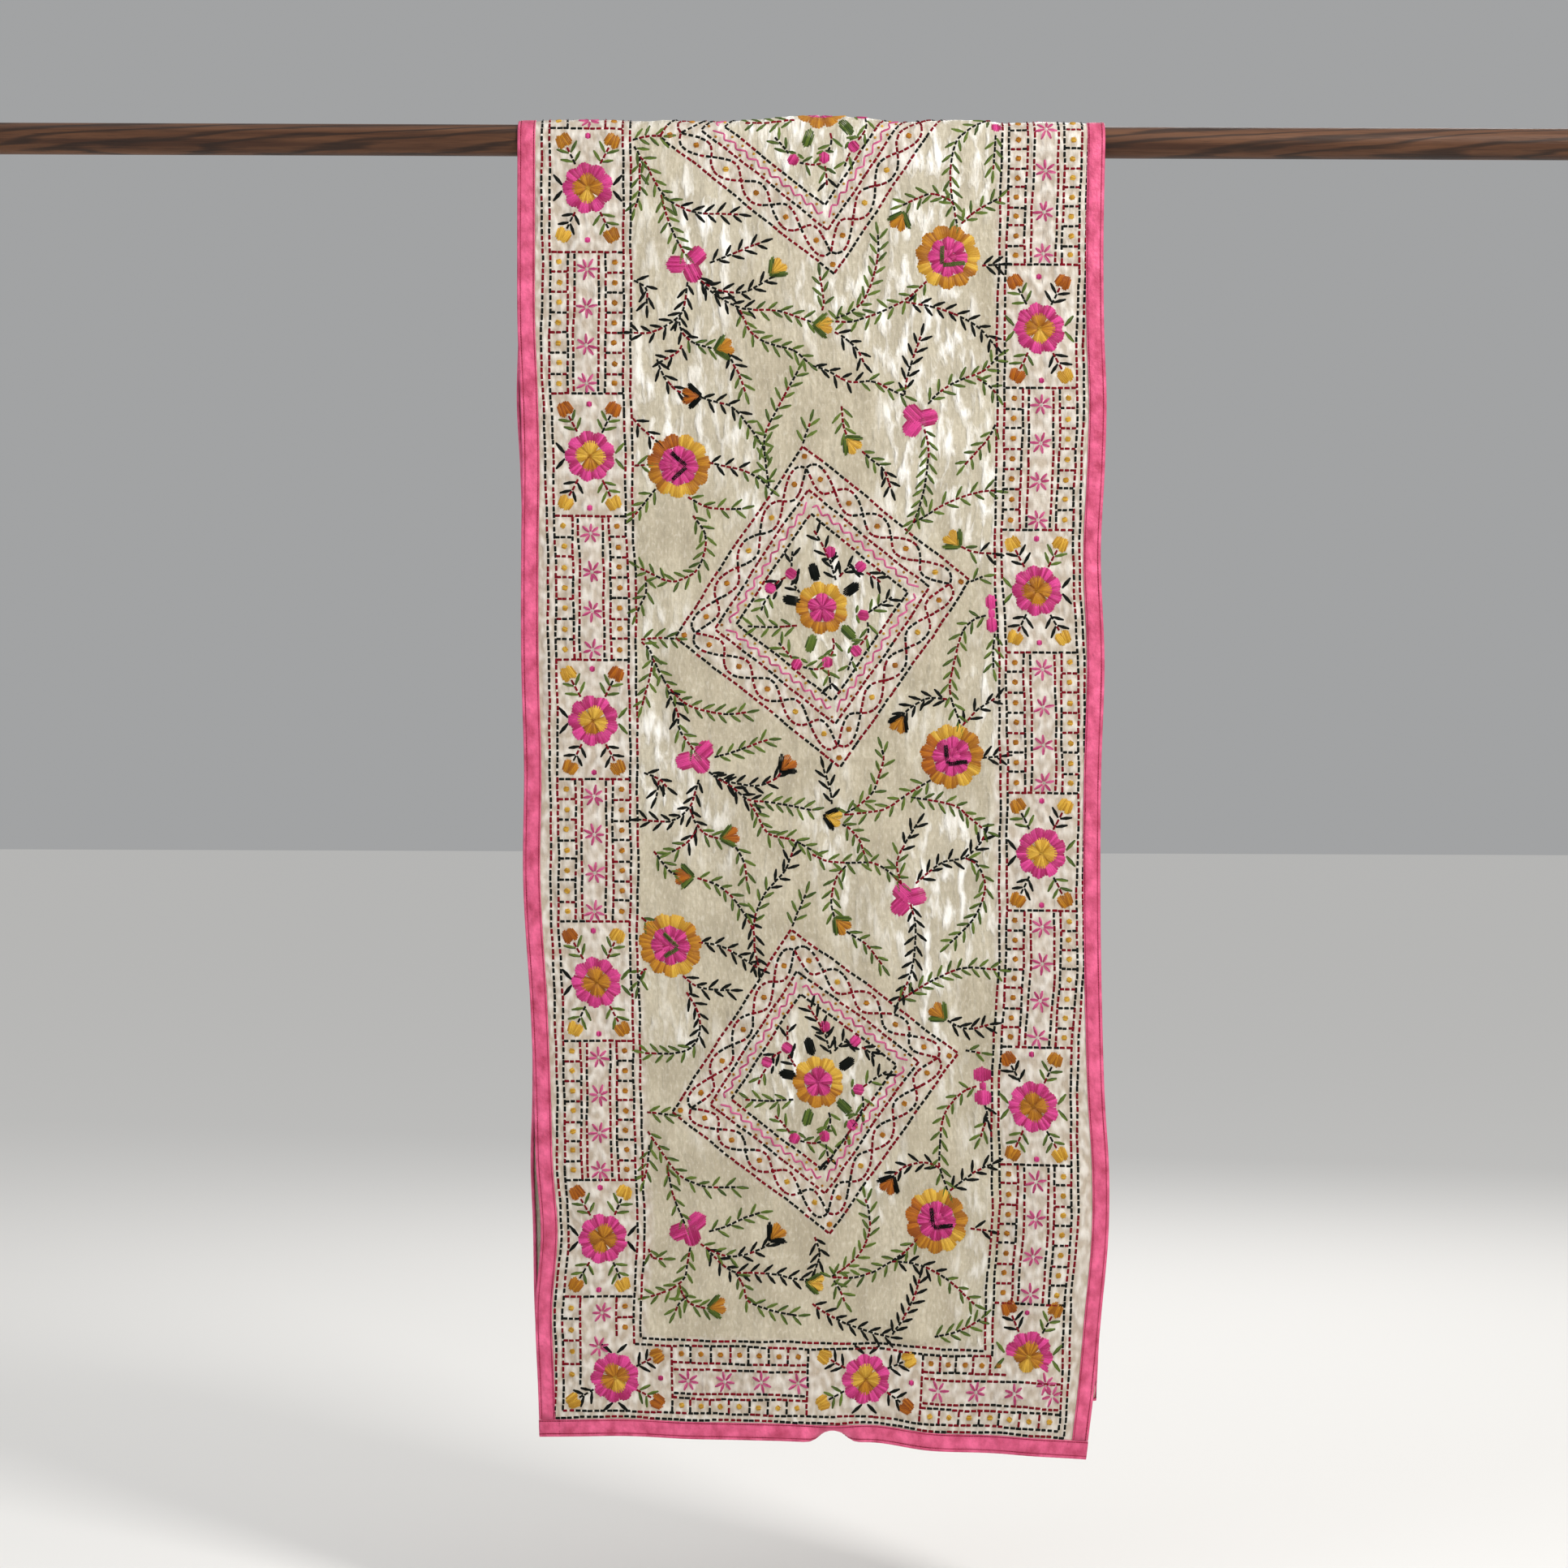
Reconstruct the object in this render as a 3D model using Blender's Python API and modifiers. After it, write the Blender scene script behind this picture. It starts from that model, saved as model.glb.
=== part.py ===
"""An embroidered silk stole hung over a wooden rod.

The stole is one long panel with a folded binding on each of its four edges.
It is laid over the rod a little off its middle, so one end falls in front and
the other behind. The panel is made as three stretches: the one that falls in
front, the one that bends over the rod and the one that falls behind. The origin
is on the rod's axis, midway along the rod. X runs along the rod, -Y is the side
that the front end falls on, and Z is up.

A place on the cloth is given by two lengths measured on the flat stole:
across, from its centre line, and along, from the ridge on top of the rod,
positive towards the front end and negative towards the back end.
"""

import math
from collections import namedtuple

import bmesh
import bpy
import numpy as np

# The stole as it was cut and sewn
STOLE_WIDTH = 0.560
STOLE_LENGTH = 2.520
BINDING_WIDTH = 0.017
PANEL_WALL = 0.0012
BINDING_WALL = 0.0010
SEAM_GAP = 0.0003

# The rod
ROD_DIAMETER = 0.030
ROD_LENGTH = 1.600
ROD_CHAMFER = 0.0015
ROD_SIDES = 48

# How the stole hangs
FRONT_DROP = 1.2464
HEM_SKEW_POWER = 4
RIDGE_RADIUS = ROD_DIAMETER / 2 + SEAM_GAP + BINDING_WALL + SEAM_GAP + PANEL_WALL / 2
QUARTER_TURN = RIDGE_RADIUS * math.pi / 2
BACK_DROP = STOLE_LENGTH - FRONT_DROP - 2 * QUARTER_TURN

# How much of the stole's edge is binding, past the panel
BINDING_RADIUS = PANEL_WALL / 2 + SEAM_GAP
PANEL_INSET = BINDING_RADIUS + BINDING_WALL
PANEL_HALF = STOLE_WIDTH / 2 - PANEL_INSET
BINDING_REACH = BINDING_WIDTH - PANEL_INSET
LINING_REACH = 0.0015

# How finely the solids follow the cloth
COLUMN_SPACING = 0.020
CURL_COLUMN_SPACING = 0.0055
FALL_ROWS = 19
TURN_ROWS = 12
CURL_REACH = 0.0205
HEM_ROWS = (0.0, LINING_REACH, BINDING_REACH / 3, BINDING_REACH * 2 / 3, BINDING_REACH, CURL_REACH)

# The stole's own outline as it hangs, by the drop below the rod's axis
Edge = namedtuple("Edge", "drop left right")
FRONT_EDGES = (
    Edge(0.00, -0.2835, 0.2770),
    Edge(0.10, -0.2834, 0.2756),
    Edge(0.18, -0.2828, 0.2765),
    Edge(0.25, -0.2798, 0.2791),
    Edge(0.31, -0.2781, 0.2778),
    Edge(0.39, -0.2785, 0.2742),
    Edge(0.50, -0.2780, 0.2781),
    Edge(0.60, -0.2750, 0.2754),
    Edge(0.71, -0.2753, 0.2750),
    Edge(0.83, -0.2678, 0.2770),
    Edge(0.92, -0.2640, 0.2802),
    Edge(0.98, -0.2621, 0.2841),
    Edge(1.04, -0.2573, 0.2840),
    Edge(1.12, -0.2621, 0.2773),
    Edge(1.19, -0.2593, 0.2709),
    Edge(1.26, -0.2566, 0.2626),
)
BACK_EDGES = (
    Edge(0.00, -0.2835, 0.2770),
    Edge(0.10, -0.2843, 0.2768),
    Edge(0.18, -0.2844, 0.2784),
    Edge(0.25, -0.2857, 0.2806),
    Edge(0.31, -0.2823, 0.2792),
    Edge(0.39, -0.2797, 0.2760),
    Edge(0.50, -0.2790, 0.2795),
    Edge(0.60, -0.2762, 0.2770),
    Edge(0.71, -0.2762, 0.2765),
    Edge(0.83, -0.2693, 0.2785),
    Edge(0.92, -0.2684, 0.2815),
    Edge(0.98, -0.2697, 0.2850),
    Edge(1.04, -0.2673, 0.2855),
    Edge(1.12, -0.2654, 0.2798),
    Edge(1.19, -0.2609, 0.2764),
    Edge(1.24, -0.2585, 0.2740),
)

# How much lower than its mean the front end hangs. The back end hangs as much higher.
Skew = namedtuple("Skew", "across lower")
HEM_SKEWS = (
    Skew(-0.280, -0.0082),
    Skew(-0.210, -0.0100),
    Skew(-0.140, -0.0072),
    Skew(-0.040, -0.0059),
    Skew(0.020, -0.0032),
    Skew(0.060, -0.0038),
    Skew(0.120, 0.0040),
    Skew(0.200, 0.0058),
    Skew(0.280, 0.0117),
)

# Where thick stitching lifts the cloth off the rod
Lift = namedtuple("Lift", "across height")
RIDGE_LIFTS = (
    Lift(-0.280, 0.0000),
    Lift(-0.090, 0.0000),
    Lift(-0.045, 0.0038),
    Lift(-0.010, 0.0048),
    Lift(0.035, 0.0064),
    Lift(0.060, 0.0042),
    Lift(0.085, 0.0008),
    Lift(0.115, 0.0016),
    Lift(0.155, 0.0030),
    Lift(0.185, 0.0002),
    Lift(0.280, 0.0000),
)

# Soft folds: each swells away from the rod, from its start down to the hem
Fold = namedtuple("Fold", "across half_width depth start lean")
FRONT_FOLDS = (
    Fold(-0.240, 0.045, 0.0080, 0.10, 0.010),
    Fold(-0.150, 0.030, 0.0028, 0.25, 0.020),
    Fold(-0.025, 0.055, 0.0070, 0.30, -0.025),
    Fold(0.085, 0.032, 0.0022, 0.20, 0.010),
    Fold(0.200, 0.042, 0.0100, 0.35, 0.015),
)
BACK_FOLDS = (
    Fold(-0.245, 0.045, 0.0062, 0.30, 0.015),
    Fold(-0.135, 0.032, 0.0025, 0.15, -0.010),
    Fold(-0.040, 0.055, 0.0090, 0.20, 0.020),
    Fold(0.085, 0.030, 0.0020, 0.35, 0.010),
    Fold(0.185, 0.050, 0.0072, 0.25, -0.015),
)

# The stretch of the front hem that has turned under
CURL_ACROSS = 0.019
CURL_HALF_WIDTH = 0.030
CURL_ANGLE = 2.6

SILK = (0.79, 0.75, 0.64)
BINDING_PINK = (0.86, 0.16, 0.38)
WALNUT = (0.16, 0.085, 0.05)


def smooth_step(value):
    held = np.clip(value, 0.0, 1.0)
    return held * held * (3.0 - 2.0 * held)


def curve_through(rows, known, wanted, at):
    """A smooth curve through a table: column wanted at each value of column known."""
    x = np.array([getattr(row, known) for row in rows])
    y = np.array([getattr(row, wanted) for row in rows])
    slope = np.gradient(y, x)
    held = np.clip(at, x[0], x[-1])
    left = np.clip(np.searchsorted(x, held) - 1, 0, len(x) - 2)
    width = x[left + 1] - x[left]
    t = (held - x[left]) / width
    start, end = y[left], y[left + 1]
    rise, fall = slope[left] * width, slope[left + 1] * width
    return (
        start * (2 * t**3 - 3 * t**2 + 1)
        + rise * (t**3 - 2 * t**2 + t)
        + end * (3 * t**2 - 2 * t**3)
        + fall * (t**3 - t**2)
    )


def fold_depth(folds, across, drop, full_drop):
    """How far the soft folds push the cloth away from the rod's side."""
    depth = np.zeros_like(across)
    for fold in folds:
        middle = fold.across + fold.lean * drop
        swell = smooth_step((drop - fold.start) / (full_drop - fold.start))
        depth += fold.depth * swell * np.exp(-(((across - middle) / fold.half_width) ** 2))
    return depth


def fall_points(across, drop, front):
    """Points of one hanging end, by the drop below the rod's axis."""
    edges, folds, full_drop, side, skew_side = (
        (FRONT_EDGES, FRONT_FOLDS, FRONT_DROP, -1.0, 1.0)
        if front
        else (BACK_EDGES, BACK_FOLDS, BACK_DROP, 1.0, -1.0)
    )
    skew = skew_side * curve_through(HEM_SKEWS, "across", "lower", across)
    hem_share = np.clip(drop / full_drop, 0.0, 1.1) ** HEM_SKEW_POWER
    lower = drop + skew * hem_share
    share = across / STOLE_WIDTH + 0.5
    left = curve_through(edges, "drop", "left", lower)
    right = curve_through(edges, "drop", "right", lower)
    x = left + share * (right - left)
    y = side * (RIDGE_RADIUS + fold_depth(folds, across, drop, full_drop))
    z = -lower
    if front:
        curl_y, curl_z = hem_curl(across, full_drop - drop)
        y = y + curl_y
        z = z + curl_z
    return np.stack([x, y, z], axis=-1)


def hem_curl(across, above_hem):
    """How the turned-under stretch moves the hem back and up from where it would hang."""
    window = 1.0 - smooth_step(np.abs(across - CURL_ACROSS) / CURL_HALF_WIDTH)
    turn = CURL_ANGLE * window / CURL_REACH + 1e-6
    run = np.clip(CURL_REACH - above_hem, 0.0, None)
    back = (1.0 - np.cos(turn * run)) / turn
    up = run - np.sin(turn * run) / turn
    return back, up


def over_rod_points(across, along):
    """Points of the stretch that bends over the rod."""
    angle = along / RIDGE_RADIUS
    share = across / STOLE_WIDTH + 0.5
    x = FRONT_EDGES[0].left + share * (FRONT_EDGES[0].right - FRONT_EDGES[0].left)
    lift = np.clip(curve_through(RIDGE_LIFTS, "across", "height", across), 0.0, None)
    y = -RIDGE_RADIUS * np.sin(angle)
    z = RIDGE_RADIUS * np.cos(angle) + lift * np.clip(np.cos(angle), 0.0, 1.0) ** 2
    return np.stack([x, y, z], axis=-1)


def middle_points(across, along):
    """Points midway through the panel's wall."""
    across, along = np.broadcast_arrays(across, along)
    drop = np.abs(along) - QUARTER_TURN
    hanging = np.where(
        (along > 0)[..., None],
        fall_points(across, drop, front=True),
        fall_points(across, drop, front=False),
    )
    return np.where((drop > 0)[..., None], hanging, over_rod_points(across, along))


def cloth_points(across, along, raised):
    """Points at a height over the middle of the wall, positive on the embroidered side."""
    step = 0.0002
    down = middle_points(across, along + step) - middle_points(across, along - step)
    over = middle_points(across + step, along) - middle_points(across - step, along)
    outward = np.cross(down, over)
    outward /= np.linalg.norm(outward, axis=-1, keepdims=True)
    return middle_points(across, along) + outward * np.asarray(raised)[..., None]


def fall_lengths(drop):
    """Where the rows of points lie along a hanging stretch, from its hem up to the rod's side."""
    hem = QUARTER_TURN + drop - PANEL_INSET
    near_hem = [hem - above for above in HEM_ROWS]
    above = np.linspace(near_hem[-1], QUARTER_TURN, FALL_ROWS + 1)[1:]
    return np.concatenate([near_hem, above])


def turn_lengths():
    """Where the rows of points lie over the rod, from its front to its back."""
    return np.linspace(QUARTER_TURN, -QUARTER_TURN, TURN_ROWS + 1)


def even_steps(start, end, spacing):
    return np.linspace(start, end, math.ceil((end - start) / spacing) + 1)


def widths_across(front):
    """Where the columns of points lie across the panel, closer together at the turned hem."""
    inside = STOLE_WIDTH / 2 - BINDING_WIDTH
    lined = PANEL_HALF - LINING_REACH
    if not front:
        even = even_steps(-inside, inside, COLUMN_SPACING)
        return np.concatenate([[-PANEL_HALF, -lined], even, [lined, PANEL_HALF]])
    curl_left = CURL_ACROSS - CURL_HALF_WIDTH
    curl_right = CURL_ACROSS + CURL_HALF_WIDTH
    left = even_steps(-inside, curl_left, COLUMN_SPACING)
    curl = even_steps(curl_left, curl_right, CURL_COLUMN_SPACING)
    right = even_steps(curl_right, inside, COLUMN_SPACING)
    return np.concatenate([[-PANEL_HALF, -lined], left, curl[1:-1], right, [lined, PANEL_HALF]])


def binding_profile(reaches):
    """A folded strip's section as (distance in from the panel's edge, height over its middle).

    It is wide on the outer face, and turns just far enough onto the lining to be caught.
    """
    faces = [(reach, BINDING_RADIUS) for reach in sorted(reaches, reverse=True)]
    turns = (math.pi / 4, 0.0, -math.pi / 4)
    round_edge = [(-BINDING_RADIUS * math.cos(a), BINDING_RADIUS * math.sin(a)) for a in turns]
    lining = [(0.0, -BINDING_RADIUS), (LINING_REACH, -BINDING_RADIUS)]
    return np.array(faces + round_edge + lining)


def new_material(name, colour, roughness, sheen=0.0):
    material = bpy.data.materials.new(name)
    material.use_nodes = True
    shader = material.node_tree.nodes["Principled BSDF"]
    shader.inputs["Base Color"].default_value = (*colour, 1.0)
    shader.inputs["Roughness"].default_value = roughness
    shader.inputs["Metallic"].default_value = 0.0
    shader.inputs["Sheen Weight"].default_value = sheen
    return material


def split_quads(grid, across, along):
    """Splits every quad along the same diagonal of the flat cloth.

    So walls that lie on each other keep their gap where the cloth is twisted.
    """
    rows, columns = across.shape
    turned_over = []
    face_up = []
    for face in grid.faces:
        middle = face.calc_center_median()
        column = int((middle.x + 0.5) * (columns - 1))
        row = int((middle.y + 0.5) * (rows - 1))
        run = across[row, column + 1] - across[row, column]
        fall = along[row + 1, column] - along[row, column]
        (face_up if run * fall < 0 else turned_over).append(face)
    bmesh.ops.triangulate(grid, faces=face_up, quad_method="FIXED")
    bmesh.ops.triangulate(grid, faces=turned_over, quad_method="ALTERNATE")


def cloth_wall(name, places, wall, offset, material, collection):
    """A wall on a sheet of places (across, along, raised), each an array with the rows first.

    Offset 1 grows the wall outwards from the sheet, and 0 to both sides.
    """
    across, along, raised = np.broadcast_arrays(*places)
    points = cloth_points(across, along, raised)
    rows, columns = across.shape
    grid = bmesh.new()
    bmesh.ops.create_grid(grid, x_segments=columns - 1, y_segments=rows - 1, size=0.5)
    split_quads(grid, across, along)
    for vertex in grid.verts:
        column = round((vertex.co.x + 0.5) * (columns - 1))
        row = round((vertex.co.y + 0.5) * (rows - 1))
        vertex.co = points[row, column]
    mesh = bpy.data.meshes.new(name)
    grid.to_mesh(mesh)
    grid.free()
    mesh.shade_smooth()
    mesh.materials.append(material)
    obj = bpy.data.objects.new(name, mesh)
    collection.objects.link(obj)
    solidify = obj.modifiers.new("Wall", "SOLIDIFY")
    solidify.thickness = wall
    solidify.offset = offset
    return obj


def make_panel_stretch(name, across, lengths, material, collection):
    places = (across[None, :], lengths[:, None], 0.0)
    return cloth_wall(name, places, PANEL_WALL, 0.0, material, collection)


def make_panel(material, collection):
    """The cream cloth, in three stretches a seam's gap apart where it leaves the rod."""
    front = fall_lengths(FRONT_DROP)
    front[-1] += SEAM_GAP / 2
    back = -fall_lengths(BACK_DROP)[::-1]
    back[0] -= SEAM_GAP / 2
    turn = turn_lengths()
    turn[0] -= SEAM_GAP / 2
    turn[-1] += SEAM_GAP / 2
    front_across = widths_across(front=True)
    back_across = widths_across(front=False)
    make_panel_stretch("panel_front", front_across, front, material, collection)
    make_panel_stretch("panel_over_rod", back_across, turn, material, collection)
    make_panel_stretch("panel_back", back_across, back, material, collection)


def make_side_binding(name, side, material, collection):
    """The strip folded over a long edge. It stops short of the strips on the two ends."""
    hem = HEM_ROWS.index(BINDING_REACH)
    front = fall_lengths(FRONT_DROP)[hem:]
    back = -fall_lengths(BACK_DROP)[hem:][::-1]
    rows = np.concatenate([front, turn_lengths()[1:-1], back])
    rows[0] -= SEAM_GAP
    rows[-1] += SEAM_GAP
    profile = binding_profile([0.0, LINING_REACH, BINDING_REACH])
    # The points run so that the strip's faces look away from the panel on both sides.
    reach, height = (profile if side > 0 else profile[::-1]).T
    across = side * (PANEL_HALF - reach)
    places = (across[None, :], rows[:, None], height[None, :])
    return cloth_wall(name, places, BINDING_WALL, 1.0, material, collection)


def make_end_binding(name, front, material, collection):
    """The strip folded over a short edge. It runs the stole's whole width."""
    drop = FRONT_DROP if front else BACK_DROP
    side = 1.0 if front else -1.0
    half = STOLE_WIDTH / 2
    across = np.concatenate([[-half], widths_across(front), [half]])
    profile = binding_profile(HEM_ROWS[:-1])
    reach, height = (profile[::-1] if front else profile).T
    along = side * (QUARTER_TURN + drop - PANEL_INSET - reach)
    places = (across[None, :], along[:, None], height[:, None])
    return cloth_wall(name, places, BINDING_WALL, 1.0, material, collection)


def make_rod(material, collection):
    bpy.ops.mesh.primitive_cylinder_add(
        vertices=ROD_SIDES,
        radius=ROD_DIAMETER / 2,
        depth=ROD_LENGTH,
        rotation=(0.0, math.pi / 2, 0.0),
    )
    rod = bpy.context.object
    rod.name = "rod"
    bpy.ops.object.transform_apply(rotation=True)
    for owner in list(rod.users_collection):
        owner.objects.unlink(rod)
    collection.objects.link(rod)
    rod.data.materials.append(material)
    chamfer = rod.modifiers.new("Chamfer", "BEVEL")
    chamfer.width = ROD_CHAMFER
    chamfer.segments = 1
    chamfer.limit_method = "ANGLE"
    chamfer.angle_limit = math.radians(60)
    rod.data.shade_smooth()
    rod.data.set_sharp_from_angle(angle=math.radians(40))
    return rod


def clear_scene():
    for obj in list(bpy.data.objects):
        bpy.data.objects.remove(obj)


def main():
    clear_scene()
    stole = bpy.data.collections.new("embroidered_stole_on_rod")
    bpy.context.scene.collection.children.link(stole)
    silk = new_material("silk", SILK, roughness=0.45, sheen=0.3)
    pink = new_material("binding_pink", BINDING_PINK, roughness=0.5, sheen=0.2)
    walnut = new_material("walnut", WALNUT, roughness=0.5)
    make_rod(walnut, stole)
    make_panel(silk, stole)
    make_side_binding("binding_left", -1.0, pink, stole)
    make_side_binding("binding_right", 1.0, pink, stole)
    make_end_binding("binding_front_hem", True, pink, stole)
    make_end_binding("binding_back_hem", False, pink, stole)


main()
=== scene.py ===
"""The looks of an embroidered silk stole that hangs over a wooden rod.

A place on the cloth is given by two lengths measured on the flat stole: across,
from its centre line, and along, from the ridge on top of the rod, positive
towards the front end. The drape is worked out from the same tables as the
solids. What the photograph shows on the cloth is placed by its pixels, which
flat_place turns into such a place.
"""

import math
from collections import defaultdict, namedtuple
from functools import cache

import bpy
import numpy as np
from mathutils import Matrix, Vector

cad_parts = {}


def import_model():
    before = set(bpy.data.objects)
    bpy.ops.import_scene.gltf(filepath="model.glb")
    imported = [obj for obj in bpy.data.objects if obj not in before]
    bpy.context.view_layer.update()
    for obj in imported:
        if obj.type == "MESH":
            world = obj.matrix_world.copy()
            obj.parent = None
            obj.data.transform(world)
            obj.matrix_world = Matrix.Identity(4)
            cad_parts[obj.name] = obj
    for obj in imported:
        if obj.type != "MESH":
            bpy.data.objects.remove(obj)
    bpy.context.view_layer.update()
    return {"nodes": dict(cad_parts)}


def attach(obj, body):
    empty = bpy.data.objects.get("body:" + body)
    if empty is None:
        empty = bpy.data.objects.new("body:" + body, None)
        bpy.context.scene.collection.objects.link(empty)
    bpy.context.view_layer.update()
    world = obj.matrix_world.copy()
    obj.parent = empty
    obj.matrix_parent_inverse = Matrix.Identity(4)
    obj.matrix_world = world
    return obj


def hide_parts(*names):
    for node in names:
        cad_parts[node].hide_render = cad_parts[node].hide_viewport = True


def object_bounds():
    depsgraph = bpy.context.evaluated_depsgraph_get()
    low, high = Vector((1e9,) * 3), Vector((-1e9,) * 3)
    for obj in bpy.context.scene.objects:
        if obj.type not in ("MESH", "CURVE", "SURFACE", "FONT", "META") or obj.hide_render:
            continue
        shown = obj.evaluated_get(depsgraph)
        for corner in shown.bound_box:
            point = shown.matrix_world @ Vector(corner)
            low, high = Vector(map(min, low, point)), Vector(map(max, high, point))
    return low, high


# The stole as it was cut and sewn, the same as in the solids
STOLE_WIDTH = 0.560
STOLE_LENGTH = 2.520
BINDING_WIDTH = 0.017
PANEL_WALL = 0.0012
BINDING_WALL = 0.0010
SEAM_GAP = 0.0003
ROD_DIAMETER = 0.030
FRONT_DROP = 1.2464
HEM_SKEW_POWER = 4
HEM_SKEW_LIMIT = 1.1
RIDGE_RADIUS = ROD_DIAMETER / 2 + SEAM_GAP + BINDING_WALL + SEAM_GAP + PANEL_WALL / 2
QUARTER_TURN = RIDGE_RADIUS * math.pi / 2
BACK_DROP = STOLE_LENGTH - FRONT_DROP - 2 * QUARTER_TURN
BINDING_RADIUS = PANEL_WALL / 2 + SEAM_GAP
PANEL_INSET = BINDING_RADIUS + BINDING_WALL
PANEL_HALF = STOLE_WIDTH / 2 - PANEL_INSET
BINDING_REACH = BINDING_WIDTH - PANEL_INSET
LINING_REACH = 0.0015
FRONT_LENGTH = QUARTER_TURN + FRONT_DROP
BACK_LENGTH = QUARTER_TURN + BACK_DROP
FRONT_HEM = FRONT_LENGTH - PANEL_INSET
BACK_HEM = PANEL_INSET - BACK_LENGTH

# The stole's own outline as it hangs, by the drop below the rod's axis
Edge = namedtuple("Edge", "drop left right")
FRONT_EDGES = (
    Edge(0.00, -0.2835, 0.2770),
    Edge(0.10, -0.2834, 0.2756),
    Edge(0.18, -0.2828, 0.2765),
    Edge(0.25, -0.2798, 0.2791),
    Edge(0.31, -0.2781, 0.2778),
    Edge(0.39, -0.2785, 0.2742),
    Edge(0.50, -0.2780, 0.2781),
    Edge(0.60, -0.2750, 0.2754),
    Edge(0.71, -0.2753, 0.2750),
    Edge(0.83, -0.2678, 0.2770),
    Edge(0.92, -0.2640, 0.2802),
    Edge(0.98, -0.2621, 0.2841),
    Edge(1.04, -0.2573, 0.2840),
    Edge(1.12, -0.2621, 0.2773),
    Edge(1.19, -0.2593, 0.2709),
    Edge(1.26, -0.2566, 0.2626),
)
BACK_EDGES = (
    Edge(0.00, -0.2835, 0.2770),
    Edge(0.10, -0.2843, 0.2768),
    Edge(0.18, -0.2844, 0.2784),
    Edge(0.25, -0.2857, 0.2806),
    Edge(0.31, -0.2823, 0.2792),
    Edge(0.39, -0.2797, 0.2760),
    Edge(0.50, -0.2790, 0.2795),
    Edge(0.60, -0.2762, 0.2770),
    Edge(0.71, -0.2762, 0.2765),
    Edge(0.83, -0.2693, 0.2785),
    Edge(0.92, -0.2684, 0.2815),
    Edge(0.98, -0.2697, 0.2850),
    Edge(1.04, -0.2673, 0.2855),
    Edge(1.12, -0.2654, 0.2798),
    Edge(1.19, -0.2609, 0.2764),
    Edge(1.24, -0.2585, 0.2740),
)

# How much lower than its mean the front end hangs. The back end hangs as much higher.
Skew = namedtuple("Skew", "across lower")
HEM_SKEWS = (
    Skew(-0.280, -0.0082),
    Skew(-0.210, -0.0100),
    Skew(-0.140, -0.0072),
    Skew(-0.040, -0.0059),
    Skew(0.020, -0.0032),
    Skew(0.060, -0.0038),
    Skew(0.120, 0.0040),
    Skew(0.200, 0.0058),
    Skew(0.280, 0.0117),
)

# Where thick stitching lifts the cloth off the rod
Lift = namedtuple("Lift", "across height")
RIDGE_LIFTS = (
    Lift(-0.280, 0.0000),
    Lift(-0.090, 0.0000),
    Lift(-0.045, 0.0038),
    Lift(-0.010, 0.0048),
    Lift(0.035, 0.0064),
    Lift(0.060, 0.0042),
    Lift(0.085, 0.0008),
    Lift(0.115, 0.0016),
    Lift(0.155, 0.0030),
    Lift(0.185, 0.0002),
    Lift(0.280, 0.0000),
)

# Soft folds: each swells away from the rod, from its start down to the hem
Fold = namedtuple("Fold", "across half_width depth start lean")
FRONT_FOLDS = (
    Fold(-0.240, 0.045, 0.0080, 0.10, 0.010),
    Fold(-0.150, 0.030, 0.0028, 0.25, 0.020),
    Fold(-0.025, 0.055, 0.0070, 0.30, -0.025),
    Fold(0.085, 0.032, 0.0022, 0.20, 0.010),
    Fold(0.200, 0.042, 0.0100, 0.35, 0.015),
)
BACK_FOLDS = (
    Fold(-0.245, 0.045, 0.0062, 0.30, 0.015),
    Fold(-0.135, 0.032, 0.0025, 0.15, -0.010),
    Fold(-0.040, 0.055, 0.0090, 0.20, 0.020),
    Fold(0.085, 0.030, 0.0020, 0.35, 0.010),
    Fold(0.185, 0.050, 0.0072, 0.25, -0.015),
)

# The two hanging ends. The side is -1 towards the viewer and 1 behind the rod.
End = namedtuple("End", "edges folds drop side")
FRONT = End(FRONT_EDGES, FRONT_FOLDS, FRONT_DROP, -1.0)
BACK = End(BACK_EDGES, BACK_FOLDS, BACK_DROP, 1.0)

# The stretch of the front hem that has turned under
CURL_ACROSS = 0.019
CURL_HALF_WIDTH = 0.030
CURL_REACH = 0.0205
CURL_ANGLE = 2.6
LEAST_TURN = 1e-6

# The photograph is square. A pixel's size is given where the cloth hangs.
PHOTO_SIDE = 1932
PHOTO_MIDDLE = PHOTO_SIDE / 2
PIXEL = 0.000773
ROD_PIXEL_X = 1001.0
ROD_PIXEL_Y = 174.35

# The camera that took it, level but for a slight roll
LENS_MM = 85.0
SENSOR_MM = 36.0
CLOTH_PLANE_Y = -0.020
CAMERA_ROLL = -0.0038
CAMERA_DISTANCE = PHOTO_SIDE * PIXEL * LENS_MM / SENSOR_MM
CAMERA_X = (PHOTO_MIDDLE - ROD_PIXEL_X) * PIXEL
CAMERA_Z = (ROD_PIXEL_Y - PHOTO_MIDDLE) * PIXEL * (1 - CLOTH_PLANE_Y / CAMERA_DISTANCE)
# It looks up at the ridge, and sees no higher on its round than this share of its radius.
HIGHEST_SEEN = 0.985

# How finely the cloth's own mesh follows it
CLOTH_COLUMNS = 184
FALL_SPACING = 0.0125
CURL_SPACING = 0.0024
RIDGE_ROWS = 20
CREASE_ROWS = (-0.0055, -0.0025, 0.0, 0.0025, 0.0055)
FACE_HEIGHT = PANEL_WALL / 2
LINING_HEIGHT = -0.0004
SLOPE_STEP = 0.0002

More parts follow.
